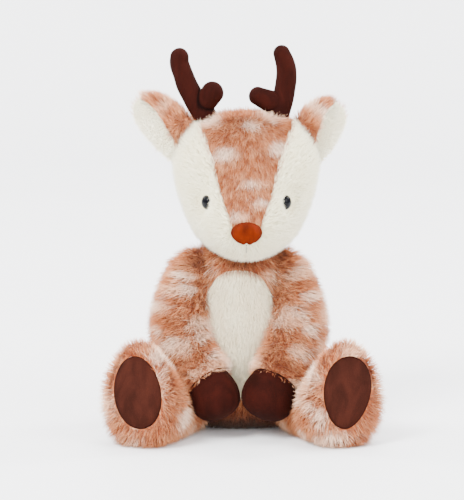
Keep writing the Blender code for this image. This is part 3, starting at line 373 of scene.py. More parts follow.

# Cream patches of the fur, and dark ones below zero, which on the arms are partly painted shade
# beside the tummy and under the chin and partly darker fur, on surfaces that face forwards:
# x, z, half width, half height and strength
FOREHEAD_PATCHES = (
    (0.0075, 0.2275, 0.0062, 0.0030, 0.9), (-0.0111, 0.2085, 0.0080, 0.0042, 1.0),
    (0.0245, 0.2123, 0.0055, 0.0045, 0.9), (0.0080, 0.1890, 0.0086, 0.0028, 0.95),
    (0.0127, 0.1745, 0.0060, 0.0034, 0.85), (-0.0020, 0.1660, 0.0066, 0.0034, 0.9),
    (-0.0235, 0.2290, 0.0085, 0.0036, 1.0), (0.0225, 0.2325, 0.0090, 0.0036, 1.0),
)
# Below zero the arms' patches are painted shade beside the tummy and under the chin, and darker fur
ARM_PATCHES = {
    "right": (
        (-0.0386, 0.1155, 0.0086, 0.0032, 1.0), (-0.0421, 0.1056, 0.0124, 0.0034, 1.0),
        (-0.0573, 0.0936, 0.0080, 0.0045, 0.7), (-0.0323, 0.0835, 0.0098, 0.0056, 1.0),
        (-0.0584, 0.0782, 0.0034, 0.0030, 0.8), (-0.0459, 0.0678, 0.0100, 0.0060, 1.0),
        (-0.0308, 0.0730, 0.0048, 0.0030, 1.0), (-0.0180, 0.0560, 0.0100, 0.0080, 1.0),
        (-0.0327, 0.0504, 0.0052, 0.0037, 0.8), (-0.0290, 0.1230, 0.0090, 0.0060, -0.9),
        (-0.0280, 0.1030, 0.0036, 0.0140, -0.7), (-0.0450, 0.0860, 0.0090, 0.0040, -0.5),
        (-0.0400, 0.0590, 0.0090, 0.0040, -0.5),
    ),
    "left": (
        (0.0361, 0.1182, 0.0120, 0.0060, 1.0), (0.0484, 0.1017, 0.0067, 0.0036, 1.0),
        (0.0334, 0.0868, 0.0101, 0.0067, 1.0), (0.0575, 0.0887, 0.0048, 0.0080, 0.8),
        (0.0471, 0.0795, 0.0045, 0.0041, 1.0), (0.0389, 0.0640, 0.0067, 0.0052, 1.0),
        (0.0585, 0.0659, 0.0071, 0.0067, 1.0), (0.0100, 0.0563, 0.0070, 0.0060, 1.0),
        (0.0328, 0.0420, 0.0090, 0.0041, 1.0), (0.0280, 0.1230, 0.0080, 0.0060, -0.9),
        (0.0225, 0.1030, 0.0036, 0.0140, -0.7), (0.0450, 0.1090, 0.0100, 0.0030, -0.5),
        (0.0300, 0.0560, 0.0080, 0.0070, -0.7),
    ),
}
LEG_PATCHES = {
    "right": (
        (-0.0599, 0.0678, 0.0060, 0.0067, 1.0), (-0.0953, 0.0305, 0.0045, 0.0090, 0.8),
        (-0.0774, 0.0085, 0.0085, 0.0052, 0.8), (-0.0442, 0.0203, 0.0052, 0.0067, 0.8),
        (-0.0600, 0.0466, 0.0050, 0.0130, 0.7), (-0.0420, 0.0503, 0.0045, 0.0040, 1.0),
    ),
    "left": (
        (0.0500, 0.0532, 0.0062, 0.0080, 1.0), (0.0486, 0.0313, 0.0045, 0.0041, 1.0),
        (0.0560, 0.0247, 0.0045, 0.0060, 1.0), (0.0624, 0.0085, 0.0080, 0.0055, 1.0),
        (0.0808, 0.0690, 0.0085, 0.0050, 1.0), (0.0464, 0.0459, 0.0045, 0.0090, 1.0),
    ),
}
PATCH_FALLOFF = 0.55
HIDDEN_PATCH_SPACING = 0.0210
HIDDEN_PATCH_RADIUS = 0.0062
HIDDEN_PATCH_SIZES = (0.75, 1.25)

# Room, lights and camera, at the photograph's angle
ROOM_HALF_WIDTH = 3.5
ROOM_FRONT_Y = -2.2
ROOM_BEND_Y = 1.8
ROOM_BEND_RADIUS = 0.9
ROOM_BEND_STEPS = 16
FLOOR_STEP = 0.5
WALL_STEP = 0.25
ROOM_STEPS = 8
DEER_MIDDLE = Vector((0.0, 0.0, 0.13))
WALL_MIDDLE = Vector((0.0, 2.7, 0.5))
# name, place, target, size and power
LIGHTS = (
    ("key", Vector((-1.1, -1.5, 1.8)), DEER_MIDDLE, 1.1, 165.0),
    ("fill", Vector((1.6, -1.3, 1.1)), DEER_MIDDLE, 1.4, 66.0),
    ("front", Vector((0.0, -2.6, 0.9)), DEER_MIDDLE, 1.6, 70.0),
    ("top", Vector((0.2, 0.3, 2.1)), DEER_MIDDLE, 1.4, 60.0),
    ("wall_left", Vector((-1.9, 0.9, 1.6)), WALL_MIDDLE, 1.0, 110.0),
    ("wall_right", Vector((1.9, 0.9, 1.6)), WALL_MIDDLE, 1.0, 110.0),
)
SKY_STRENGTH = 1.2
VIEW_TARGET = Vector((-0.0075, 0.0, 0.1320))
VIEW_DISTANCE = 2.0
VIEW_ELEVATION_DEG = 8.0
VIEW_HEIGHT = 0.3730
SENSOR_HEIGHT_MM = 36.0


def is_flat(value):
    """Whether a value is one number, not a vector or a colour."""
    return value.flat if isinstance(value, Term) else not isinstance(value, (Vector, tuple))


class Term:
    """A node socket that can be written into sums, products and comparisons."""

    def __init__(self, board, socket):
        self.board = board
        self.socket = socket
        self.flat = socket.type in ("VALUE", "INT", "BOOLEAN")

    def math(self, operation, *others):
        terms = [self, *others]
        kind = "ShaderNodeMath" if all(map(is_flat, terms)) else "ShaderNodeVectorMath"
        return self.board.node(kind, dict(enumerate(terms)), operation=operation)

    def __add__(self, other):
        return self.math("ADD", other)

    def __sub__(self, other):
        return self.math("SUBTRACT", other)

    def __rsub__(self, other):
        return -self + other

    def __mul__(self, other):
        if self.flat == is_flat(other):
            return self.math("MULTIPLY", other)
        vector, factor = (other, self) if self.flat else (self, other)
        inputs = {0: vector, "Scale": factor}
        return self.board.node("ShaderNodeVectorMath", inputs, operation="SCALE")

    def __neg__(self):
        return self * -1.0

    def __truediv__(self, other):
        return self.math("DIVIDE", other)

    def __rtruediv__(self, other):
        return self.board.node("ShaderNodeMath", {0: other, 1: self}, operation="DIVIDE")

    __radd__ = __add__
    __rmul__ = __mul__

    def at_most(self, other):
        return self.math("MINIMUM", other)

    def cross(self, other):
        return self.math("CROSS_PRODUCT", other)

    def dot(self, other):
        inputs = {0: self, 1: other}
        return self.board.node("ShaderNodeVectorMath", inputs, "Value", operation="DOT_PRODUCT")

    def part(self, letter):
        return self.board.node("ShaderNodeSeparateXYZ", {0: self}, letter)

    def step(self, low, high):
        """0 below low, 1 above high, and smooth between."""
        inputs = {"Value": self, "From Min": low, "From Max": high}
        return self.board.node("ShaderNodeMapRange", inputs, interpolation_type="SMOOTHSTEP")


class Board:
    """A node tree that nodes are laid on."""

    def __init__(self, tree):
        self.tree = tree

    def pick(self, sockets, key):
        if isinstance(key, int):
            return sockets[key]
        return next(s for s in sockets if key in (s.name, s.identifier) and s.enabled)

    def plug(self, socket, value):
        if isinstance(value, Term):
            self.tree.links.new(value.socket, socket)
        else:
            socket.default_value = value

    def lay(self, kind, inputs, **settings):
        made = self.tree.nodes.new(kind)
        for name, value in settings.items():
            setattr(made, name, value)
        for key, value in inputs.items():
            self.plug(self.pick(made.inputs, key), value)
        return made

    def node(self, kind, inputs=None, output=0, **settings):
        made = self.lay(kind, inputs or {}, **settings)
        return Term(self, self.pick(made.outputs, output))

    def feed(self, **sockets):
        """Gives the material's Principled shader its values and links."""
        shader = self.tree.nodes["Principled BSDF"]
        for name, value in sockets.items():
            self.plug(shader.inputs[name.replace("_", " ").title().replace("Ior", "IOR")], value)

    def vector(self, x, y, z):
        return self.node("ShaderNodeCombineXYZ", {0: x, 1: y, 2: z})

    def place(self):
        return self.node("ShaderNodeTexCoord", output="Object")

    def attribute(self, name, output="Fac"):
        return self.node("ShaderNodeAttribute", output=output, attribute_name=name)

    def blend(self, low, high, share):
        """From one colour to another."""
        inputs = {"Factor_Float": share, "A_Color": low, "B_Color": high}
        return self.node("ShaderNodeMix", inputs, "Result_Color", data_type="RGBA")

    def clouds(self, place, scale, detail=2.0, roughness=0.5, distortion=0.0):
        inputs = {
            "Vector": place, "Scale": scale, "Detail": detail, "Roughness": roughness,
            "Distortion": distortion,
        }
        return self.node("ShaderNodeTexNoise", inputs, noise_dimensions="3D")

    def bump(self, height, strength, depth):
        inputs = {"Height": height, "Strength": strength, "Distance": depth}
        return self.node("ShaderNodeBump", inputs)


def colour(red, green, blue):
    """A display colour, 0 to 255, as the linear one that shaders take."""
    linear = []
    for value in (red, green, blue):
        share = value / 255
        linear.append(share / 12.92 if share <= 0.04045 else ((share + 0.055) / 1.055) ** 2.4)
    return (*linear, 1.0)


def toned(tint, factor, lift=0.0):
    """A colour made darker, or lighter and lifted."""
    return tuple(min(1.0, value * factor + lift) for value in tint[:3]) + (1.0,)


def new_material(name):
    material = bpy.data.materials.new(name)
    material.use_nodes = True
    return material, Board(material.node_tree)


def fur_material():
    """Tan long pile with cream blotches, darker at its roots as painted shade, and the skin under
    it is the shaded root colour; cream below zero gives painted shade and darker fur.
    """
    material, board = new_material("spotted_fur")
    root = board.attribute("root", "Vector")
    along = board.attribute("along")
    grain = board.attribute("grain")
    cream = board.attribute("cream")
    tan = board.blend(colour(156, 82, 44), colour(206, 132, 86), along.step(0.15, 1.0))
    streak = board.clouds(root * Vector((1.0, 1.0, 0.4)), 380.0, 2.0, 0.6)
    russet = board.clouds(root, 95.0, 3.0, 0.6).step(0.50, 0.68) * 0.4
    russet = russet + grain.step(0.66, 0.98) * 0.35 + streak.step(0.52, 0.62) * 0.75
    tan = board.blend(tan, colour(126, 56, 28), russet.at_most(0.85))
    mottle = board.clouds(root + Vector((0.3, 0.1, 0.2)), 62.0, 3.0, 0.6).step(0.45, 0.75) * 0.5
    mottle = mottle + (1.0 - grain).step(0.78, 1.0) * 0.4 + (1.0 - streak).step(0.53, 0.64) * 0.55
    tan = board.blend(tan, colour(216, 154, 110), mottle.at_most(0.8))
    blush = board.clouds(root, 60.0, 1.0).step(0.32, 0.62)
    pale = board.blend(colour(242, 216, 192), colour(230, 182, 146), blush)
    edge = board.clouds(root, 210.0, 3.0, 0.7) - 0.5
    mask = (cream + (grain - 0.5) * 0.7 + edge * 1.2).step(0.24, 0.95) * 0.9
    base = board.blend(tan, pale, mask)
    # cream below zero: painted shade under the chin, beside the tummy and on the seat, and darker
    # fur on the arms
    dark = (-cream + (grain - 0.5) * 0.5 + edge * 0.8).step(0.25, 0.75) * 0.75
    base = board.blend(base, colour(112, 52, 28), dark)
    # painted shadow on the seat: the lowest cream values turn the fur dark grey-brown
    base = board.blend(base, colour(80, 62, 52), (-cream).step(0.6, 1.9))
    # painted shade at the roots of the strands and on the skin under them
    painted_root_shade = (1.0 - along).step(0.62, 1.0) * (0.45 - mask * 0.3)
    base = board.blend(base, colour(116, 56, 30), painted_root_shade)
    board.feed(base_color=base, roughness=0.9, sheen_weight=0.05, sheen_roughness=0.5)
    board.feed(specular_ior_level=0.12)
    return material


def plush_material(name, light, dark):
    """Cream pile, a little greyer in soft patches, and greyer at its roots as painted shade."""
    material, board = new_material(name)
    root = board.attribute("root", "Vector")
    patch = board.clouds(root, 120.0, 3.0).step(0.35, 0.7)
    # the patches and grain are tone; the greying towards the roots is painted shade
    grey = patch * 0.35 + (1.0 - board.attribute("along")) * 0.35 + board.attribute("grain") * 0.2
    base = board.blend(light, dark, grey.at_most(1.0))
    board.feed(base_color=base, roughness=0.9, sheen_weight=0.2, sheen_roughness=0.5)
    board.feed(specular_ior_level=0.2)
    return material


def suede_material(name, deep, brushed, scale):
    """Short nap, a little lighter where it is brushed, with painted shade where an antler's beam
    meets its tine.
    """
    material, board = new_material(name)
    place = board.place()
    strokes = board.clouds(place * Vector((1.0, 1.0, 0.45)), 70.0 * scale, 3.0, 0.55, 0.6)
    nap = board.clouds(place, 900.0 * scale, 3.0, 0.7)
    flecks = board.clouds(place, 2600.0 * scale, 2.0, 0.6)
    base = board.blend(deep, brushed, (strokes.step(0.30, 0.76) * 0.5 + nap * 0.3).at_most(1.0))
    base = board.blend(base, brushed, flecks.step(0.58, 0.75) * 0.35)
    # painted shade where beam and tine meet
    base = board.blend(base, toned(deep, 0.2), board.attribute("fork_shade").at_most(0.85))
    board.feed(base_color=base, normal=board.bump(nap * 0.7 + flecks * 0.5, 0.55, 0.0004))
    board.feed(roughness=0.9, sheen_weight=0.03, sheen_roughness=0.4, specular_ior_level=0.04)
    board.feed(sheen_tint=colour(176, 96, 70))
    return material


def plastic_material(name, tint, roughness, shine):
    """Moulded plastic with faint handling marks."""
    material, board = new_material(name)
    marks = board.clouds(board.place(), 400.0, 3.0)
    base = board.blend(tint, toned(tint, 1.3, 0.004), marks.step(0.4, 0.8) * 0.5)
    board.feed(base_color=base, roughness=marks * 0.06 + roughness, specular_ior_level=shine)
    return material


def cloth_material(name, tint, scale):
    """Plain woven or fibrous white goods that stay inside."""
    material, board = new_material(name)
    threads = board.clouds(board.place(), scale, 4.0, 0.65)
    base = board.blend(toned(tint, 0.82), tint, threads.step(0.3, 0.65))
    board.feed(base_color=base, roughness=0.92, normal=board.bump(threads, 0.5, 0.0006))
    return material


def steady(value):
    return lambda place: value


def clamp(value, low=0.0, high=1.0):
    return max(low, min(high, value))


def smooth_rows(rows, count):
    """Reads count + 1 rows off the smooth curve through the rows of a table."""
    spans = len(rows) - 1
    read = []
    for step in range(count + 1):
        place = step * spans / count
        index = min(int(place), spans - 1)
        t = place - index
        near = rows[max(index - 1, 0)], rows[index], rows[index + 1], rows[min(index + 2, spans)]
        row = []
        for a, b, c, d in zip(*near):
            bend = 2 * a - 5 * b + 4 * c - d
            twist = 3 * b - a - 3 * c + d
            row.append(0.5 * (2 * b + (c - a) * t + bend * t * t + twist * t ** 3))
        read.append(row)
    return read


def quarter_turn(count):
    """The sines and cosines of count even steps up to a right angle."""
    angles = [0.5 * math.pi * step / count for step in range(1, count + 1)]
    return [(math.sin(angle), math.cos(angle)) for angle in angles]


def finished(work):
    """A bmesh turned into a mesh."""
    mesh = bpy.data.meshes.new("form")
    work.to_mesh(mesh)
    work.free()
    return mesh


def closed_loft(rings):
    """A closed mesh over rings of points; a ring of one point closes an end to a pole."""
    work = bmesh.new()
    loops = [[work.verts.new(point) for point in ring] for ring in rings]
    for lower, upper in zip(loops, loops[1:]):
        count = max(len(lower), len(upper))
        for k in range(count):
            after = (k + 1) % count
            corners = [lower[k % len(lower)], lower[after % len(lower)]]
            corners += [upper[after % len(upper)], upper[k % len(upper)]]
            work.faces.new(list(dict.fromkeys(corners)))
    for loop in (loops[0], loops[-1]):
        if len(loop) > 1:
            work.faces.new(loop)
    bmesh.ops.recalc_face_normals(work, faces=work.faces)
    bmesh.ops.triangulate(work, faces=work.faces, quad_method="FIXED")
    return finished(work)


def open_sheet(rows):
    """A mesh between rows of points, open at its edges."""
    work = bmesh.new()
    lines = [[work.verts.new(point) for point in row] for row in rows]
    for lower, upper in zip(lines, lines[1:]):
        for k in range(len(lower) - 1):
            work.faces.new((lower[k], lower[k + 1], upper[k + 1], upper[k]))
    return finished(work)


def mesh_points(mesh):
    places = np.empty(len(mesh.vertices) * 3)
    mesh.vertices.foreach_get("co", places)
    return places.reshape(-1, 3)


def offset_copy(mesh, distance):
    """The mesh swollen, or shrunk by a negative distance, along its own normals."""
    copy = mesh.copy()
    normals = np.empty(len(copy.vertices) * 3)
    copy.vertex_normals.foreach_get("vector", normals)
    copy.vertices.foreach_set("co", mesh_points(copy).ravel() + normals * distance)
    copy.update()
    return copy


def box_mesh(low, high):
    work = bmesh.new()
    bmesh.ops.create_cube(work, size=1.0)
    for vertex in work.verts:
        for k in range(3):
            vertex.co[k] = high[k] if vertex.co[k] > 0 else low[k]
    return finished(work)


def prism(outline, y_low, y_high):
    """An XZ outline extruded along Y."""
    return closed_loft([[Vector((x, y, z)) for x, z in outline] for y in (y_low, y_high)])


def cross_axes(direction, reference):
    """Two unit vectors square to the direction, the first one nearest the reference."""
    first = (reference - direction * reference.dot(direction)).normalized()
    return first, direction.cross(first)


def oval(centre, first, first_radius, second, second_radius, sides):
    """A ring of points, or its centre alone where it closes to a pole."""
    if first_radius < POLE_RADIUS:
        return [centre]
    points = []
    for k in range(sides):
        angle = 2 * math.pi * k / sides
        point = centre + first * (first_radius * math.cos(angle))
        points.append(point + second * (second_radius * math.sin(angle)))
    return points


def turned(base, direction, profile):
    """A turned form, from rows of distance along the direction and radius."""
    across, along = cross_axes(direction, Z_AXIS)
    rings = []
    for distance, radius in profile:
        rings.append(oval(base + direction * distance, across, radius, along, radius, EYE_SIDES))
    return closed_loft(rings)


def cylinder(base, direction, radius, length):
    return turned(base, direction, ((0.0, radius), (length, radius)))


def path_frames(path, reference):
    """At each point of a path, the point, the direction and two axes square to it."""
    frames = []
    last = len(path) - 1
    for k, centre in enumerate(path):
        direction = (path[min(k + 1, last)] - path[max(k - 1, 0)]).normalized()
        frames.append((centre, direction, *cross_axes(direction, reference)))
    return frames


def rings_on(frames, radii, sides, ahead=0.0):
    """Round rings on a path's frames, all moved ahead along it."""
    rings = []
    for (centre, direction, first, second), radius in zip(frames, radii):
        rings.append(oval(centre + direction * ahead, first, radius, second, radius, sides))
    return rings


def outline_rings(shares, count, centre, sizes, sides):
    """Level rings from the centre up, whose front may be drawn to a point, as on a snout."""
    height, half_width, front_depth, back_depth = sizes
    x, y, z = centre
    rings = []
    for up, wide, front, back, point in smooth_rows(shares, count):
        level = z + up * height
        if wide * half_width < POLE_RADIUS:
            rings.append([Vector((x, y, level))])
            continue
        ring = []
        for k in range(sides):
            angle = 2 * math.pi * (k + 0.5) / sides
            ahead = math.cos(angle)
            if ahead > 0:
                out = -front * front_depth * ahead ** point
            else:
                out = -back * back_depth * ahead
            ring.append(Vector((x + wide * half_width * math.sin(angle), y + out, level)))
        rings.append(ring)
    return rings


def link(name, data):
    """A new object in the scene."""
    item = bpy.data.objects.new(name, data)
    bpy.context.scene.collection.objects.link(item)
    return item


def take_mesh(item, *others):
    """An object's mesh after its modifiers; the objects themselves are taken away."""
    graph = bpy.context.evaluated_depsgraph_get()
    mesh = bpy.data.meshes.new_from_object(item.evaluated_get(graph))
    for spare in (item, *others):
        bpy.data.objects.remove(spare, do_unlink=True)
    return mesh


def combine(mesh, other, operation):
    """The mesh after a Boolean with another mesh."""
    target = link("target", mesh)
    tool = link("tool", other)
    cut = target.modifiers.new("cut", "BOOLEAN")
    cut.operation = operation
    cut.solver = "MANIFOLD"
    cut.object = tool
    return take_mesh(target, tool)


def cut_away(mesh, *others):
    for other in others:
        mesh = combine(mesh, other, "DIFFERENCE")
    return mesh


def swept_clearance(mesh, gap, pivot, axis, angles):
    """Copies of a neighbour, swollen by the gap and turned as a moving piece sees it."""
    copies = []
    for angle in angles:
        turn = Matrix.Rotation(math.radians(angle), 4, axis)
        copy = offset_copy(mesh, gap)
        copy.transform(Matrix.Translation(pivot) @ turn @ Matrix.Translation(-pivot))
        copies.append(copy)
    return copies


def stand_on_floor(mesh):
    places = mesh_points(mesh)
    high = places.max(axis=0) + OVERRUN
    high[2] = 0.0
    return cut_away(mesh, box_mesh(places.min(axis=0) - OVERRUN, high))


def surface_tree(mesh):
    work = bmesh.new()
    work.from_mesh(mesh)
    tree = BVHTree.FromBMesh(work)
    work.free()
    return tree


def on_surface(mesh, x, z, heading=Y_AXIS):
    """The point and normal where a line along +Y, or -Y, at x, z first meets the mesh."""
    start = Vector((x, 0.0, z)) - heading * (BODY_HEIGHT + OVERRUN)
    return surface_tree(mesh).ray_cast(start, heading)[:2]


def lumps(mesh, size, depth, start):
    """Pushes a form's surface in, never out, by soft lumps."""
    shift = Vector((start, 2.0 * start, 3.0 * start))
    moves = []
    for vertex in mesh.vertices:
        swell = noise.noise(vertex.co / size + shift) * 0.5 + 0.5
        moves.append(vertex.co - vertex.normal * (depth * swell))
    for vertex, move in zip(mesh.vertices, moves):
        vertex.co = move
    mesh.update()


def drop_specks(mesh):
    """Keeps the largest shell, where a grazing cut leaves a speck beside it."""
    work = bmesh.new()
    work.from_mesh(mesh)
    shells = []
    seen = set()
    for start in work.verts:
        if start in seen:
            continue
        shell = [start]
        seen.add(start)
        for vertex in shell:
            for edge in vertex.link_edges:
                other = edge.other_vert(vertex)
                if other not in seen:
                    seen.add(other)
                    shell.append(other)
        shells.append(shell)
    shells.sort(key=len)
    spare = [vertex for shell in shells[:-1] for vertex in shell]
    bmesh.ops.delete(work, geom=spare, context="VERTS")
    work.to_mesh(mesh)
    work.free()


def sided(name, side):
    return name + "_" + side if side else name


def ride(kind, mesh, finish, body, side):
    """Links a mesh as a piece that rides on its body."""
    item = link(sided(kind, side), mesh)
    mesh.name = item.name
    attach(item, body)
    return item


def add_piece(kind, node, mesh, finish, body, side, fill=None):
    """Finishes a mesh as the piece that stands for a CAD node."""
    if kind in LUMPS:
        lumps(mesh, *LUMPS[kind])
    drop_specks(mesh)
    mesh.materials.clear()
    mesh.materials.append(finish[0])
    mesh.polygons.foreach_set("material_index", [0] * len(mesh.polygons))
    mesh.shade_smooth()
    mesh.set_sharp_from_angle(angle=math.radians(SHARP_EDGE_DEG))
    item = ride(kind, mesh, finish, body, side)
    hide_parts(sided(node, side))


def mark(mesh, name, values, domain="POINT"):
    """Writes numbers or vectors on a mesh under a name."""
    values = np.asarray(values, dtype=np.float32)
    kind, field = ("FLOAT", "value") if values.ndim == 1 else ("FLOAT_VECTOR", "vector")
    mesh.attributes.new(name, kind, domain).data.foreach_set(field, values.ravel())


def pile_tree():
    """Strands rooted all over a marked skin, combed, drawn into clumps and bent by their weight."""
    tree = bpy.data.node_groups.new("pile", "GeometryNodeTree")
    kinds = {"Skin": "Geometry", "Seed": "Int", "Steps": "Int", "Material": "Material"}
    for name in ("Skin", *PILE_SIZES, "Floor", "Steps", "Material"):
        kind = "NodeSocket" + kinds.get(name, "Float")
        tree.interface.new_socket(name, in_out="INPUT", socket_type=kind)
    tree.interface.new_socket("Pile", in_out="OUTPUT", socket_type="NodeSocketGeometry")
    board = Board(tree)
    entry = tree.nodes.new("NodeGroupInput")
    given = {socket.name: Term(board, socket) for socket in entry.outputs if socket.name}

    def named(name):
        kind = "FLOAT_VECTOR" if name in PILE_VECTORS else "FLOAT"
        inputs = {"Name": name}
        return board.node("GeometryNodeInputNamedAttribute", inputs, "Attribute", data_type=kind)

    def store(geometry, name, value, kind="FLOAT", domain="POINT"):
        kind = "FLOAT_VECTOR" if name in PILE_VECTORS else kind
        inputs = {"Geometry": geometry, "Name": name, "Value": value}
        return board.node("GeometryNodeStoreNamedAttribute", inputs, data_type=kind, domain=domain)

    scatter = board.lay(
        "GeometryNodeDistributePointsOnFaces",
        {"Mesh": given["Skin"], "Density": given["Density"] * named("pile"), "Seed": given["Seed"]},
        distribute_method="RANDOM",
    )
    place = board.node("GeometryNodeInputPosition")
    index = board.node("GeometryNodeInputIndex")
    chance = board.node(
        "FunctionNodeRandomValue", {"ID": index, "Seed": given["Seed"]}, "Value", data_type="FLOAT"
    )
    gust = board.node(
        "FunctionNodeRandomValue",
        {"Min": (-1.0, -1.0, -1.0), "Max": (1.0, 1.0, 1.0), "ID": index,
         "Seed": given["Seed"] + 7.0},
        "Value", data_type="FLOAT_VECTOR",
    )
    normal = Term(board, scatter.outputs["Normal"])
    points = Term(board, scatter.outputs["Points"])
    for name, value in (
        ("root", place), ("up", normal), ("grain", chance), ("gust", gust), ("strand", index)
    ):
        points = store(points, name, value)
    count = board.node(
        "GeometryNodeAttributeDomainSize", {0: points}, "Point Count", component="POINTCLOUD"
    )

    strand = board.node(
        "GeometryNodeMeshCone",
        {"Vertices": 3, "Side Segments": given["Steps"], "Radius Top": 0.0, "Radius Bottom": 1.0,
         "Depth": 1.0},
        "Mesh", fill_type="NGON",
    )
    strand = store(strand, "along", place.part("Z"))
    strand = store(strand, "ring", place)
    downwards = (-board.node("GeometryNodeInputNormal").part("Z")).step(0.8, 0.9)
    strand = store(strand, "foot", downwards, domain="CORNER")
    strands = board.node("GeometryNodeInstanceOnPoints", {"Points": points, "Instance": strand})
    strands = board.node("GeometryNodeRealizeInstances", {0: strands})

    root, up, sway, ring, comb = [named(name) for name in PILE_VECTORS]
    along = named("along")
    flat_comb = comb - up * comb.dot(up)
    lean = given["Lean"]
    heading = up * (1.0 - lean) + flat_comb * lean + sway * given["Wildness"]
    heading = heading.math("NORMALIZE")
    reach = given["Length"] * named("pile_length") * (named("grain") * 0.5 + 0.65)
    cells = {"Vector": root, "Scale": 1.0 / given["Clump Size"]}
    pull = board.node("ShaderNodeTexVoronoi", cells, "Position") - root
    pull = (pull - up * pull.dot(up)) * (given["Clump Pull"] * along * along)
    droop = flat_comb * (reach * given["Droop"] * along * along)
    first = heading.cross((0.36, 0.48, 0.80)).math("NORMALIZE")
    second = heading.cross(first)
    girth = given["Radius"] * (1.0 + along)
    spine = root + heading * (reach * along) + droop + pull
    spot = spine + (first * (ring.part("X") * girth) + second * (ring.part("Y") * girth))
    level = spot.part("Z").math("MAXIMUM", given["Floor"])
    spot = board.vector(spot.part("X"), spot.part("Y"), level)
    strands = board.node("GeometryNodeSetPosition", {"Geometry": strands, "Position": spot})

    columns = ((count * 1.0).math("POWER", 0.5) + 1.0).math("FLOOR")
    number = named("strand")
    column = number.math("MODULO", columns)
    row = (number / columns).math("FLOOR")
    across = ring.part("Y").math("ARCTAN2", ring.part("X")) / (2.5 * math.pi) + 0.5
    foot = named("foot")
    side_cell = board.vector(across, along * 0.8 + 0.15, 0.0)
    foot_cell = board.vector(ring.part("X") * 0.3 + 0.5, ring.part("Y") * 0.05 + 0.06, 0.0)
    cell = side_cell * (1.0 - foot) + foot_cell * foot
    unrolled = board.vector(
        (column + cell.part("X")) / columns, (row + cell.part("Y")) / columns, 0.0
    )
    strands = store(strands, "OFBake", unrolled, "FLOAT2", "CORNER")
    for spare in ("up", "gust", "ring", "foot", "comb", "pile", "pile_length", "strand"):
        strands = board.node("GeometryNodeRemoveAttribute", {"Geometry": strands, "Name": spare})
    strands = board.node("GeometryNodeSetShadeSmooth", {"Geometry": strands})
    finish = {"Geometry": strands, "Material": given["Material"]}
    strands = board.node("GeometryNodeSetMaterial", finish)
    leave = tree.nodes.new("NodeGroupOutput")
    tree.links.new(strands.socket, leave.inputs["Pile"])
    return tree


def grow_pile(
    kind, mesh, finish, body, side, outer, comb,
    length=steady(1.0), cream=steady(0.0), edge=GAP, lowest=-OVERRUN,
):
    """Strands on the faces of a skin that lie on its outer form, as one piece beside the skin."""
    tree = surface_tree(outer)
    grows = []
    for face in mesh.polygons:
        outside = tree.find_nearest(face.center)[3] < edge
        grows.append(1.0 if outside and face.center.z >= lowest else 0.0)
    places = mesh_points(mesh)
    mark(mesh, "pile", grows, "FACE")
    mark(mesh, "comb", [comb(place) for place in places])
    mark(mesh, "pile_length", [length(place) for place in places])
    mark(mesh, "cream", [cream(place) for place in places])
    mark(mesh, "root", places)
    mark(mesh, "grain", np.full(len(places), 0.5))
    carrier = link("grower", mesh)
    grower = carrier.modifiers.new("pile", "NODES")
    grower.node_group = PILE
    values = dict(zip(PILE_SIZES, PILES[kind]))
    values.update({"Floor": FLOOR_REST, "Steps": STRAND_STEPS, "Material": finish[0]})
    for socket in PILE.interface.items_tree:
        if socket.name in values:
            grower[socket.identifier] = values[socket.name]
    ride(kind, take_mesh(carrier), finish, body, side)


def patches_seen_ahead(patches):
    """How cream a place is, from a table of patches on surfaces that face forwards."""

    def cream(place):
        values = [0.0]
        for x, z, wide, tall, strength in patches:
            spread = ((place[0] - x) / wide) ** 2 + ((place[2] - z) / tall) ** 2
            values.append(strength * math.exp(-PATCH_FALLOFF * spread ** 1.5))
        return max(values) + min(values)

    return cream


def scattered_patches(mesh, allowed, seed):
    """How cream a place is, from patches spread evenly over the part of a form that is allowed."""
    places = [Vector(place) for place in mesh_points(mesh) if allowed(place)]
    order = np.random.default_rng(seed).permutation(len(places))
    centres = []
    for k in order:
        if all((places[k] - other).length > HIDDEN_PATCH_SPACING for other in centres):
            centres.append(places[k])
    sizes = np.random.default_rng(seed + 1).uniform(*HIDDEN_PATCH_SIZES, len(centres))

    def cream(place):
        values = [0.0]
        for centre, size in zip(centres, sizes):
            reach = (Vector(place) - centre).length / (size * HIDDEN_PATCH_RADIUS)
            values.append(math.exp(-PATCH_FALLOFF * reach ** 3))
        return max(values)

    return cream


def body_form():
    sizes = BODY_HEIGHT + SEAT_CUT, BODY_HALF_WIDTH, BODY_FRONT_DEPTH, BODY_BACK_DEPTH
    seat = (0.0, BODY_Y, -SEAT_CUT)
    return closed_loft(outline_rings(BODY_OUTLINE_SHARES, BODY_RINGS, seat, sizes, BODY_SIDES))


def head_form():
    """The head with its eye sockets pressed in, and where each eye sits."""
    sizes = HEAD_HEIGHT, HEAD_HALF_WIDTH, HEAD_FRONT_DEPTH, HEAD_BACK_DEPTH
    chin = (HEAD_X, HEAD_Y, HEAD_BASE_Z)
    mesh = closed_loft(outline_rings(HEAD_OUTLINE_SHARES, HEAD_RINGS, chin, sizes, HEAD_SIDES))
    eyes = {side: on_surface(mesh, HEAD_X + sign * EYE_X, EYE_Z) for side, sign in SIDES.items()}
    for vertex in mesh.vertices:
        for base, normal in eyes.values():
            reach = (vertex.co - base).length / EYE_SOCKET_RADIUS
            vertex.co -= normal * (EYE_SOCKET_DEPTH * math.exp(-EYE_SOCKET_FALLOFF * reach * reach))
    mesh.update()
    for side, (base, normal) in eyes.items():
        eyes[side] = base - normal * EYE_SOCKET_DEPTH, normal
    return mesh, eyes


def tummy_outline(inset):
    """The tummy panel's edge as x, z points: a long oval, broader at its top."""
    outline = []
    for k in range(TUMMY_POINTS):
        angle = 2 * math.pi * k / TUMMY_POINTS
        aside = math.copysign(abs(math.sin(angle)) ** TUMMY_ROUNDING_SHARE, math.sin(angle))
        wide = (TUMMY_HALF_WIDTH - inset) * (1.0 + TUMMY_FULLNESS_SHARE * math.cos(angle))
        tall = TUMMY_HALF_HEIGHT - inset
        outline.append((TUMMY_X + wide * aside, TUMMY_Z + tall * math.cos(angle)))
    return outline


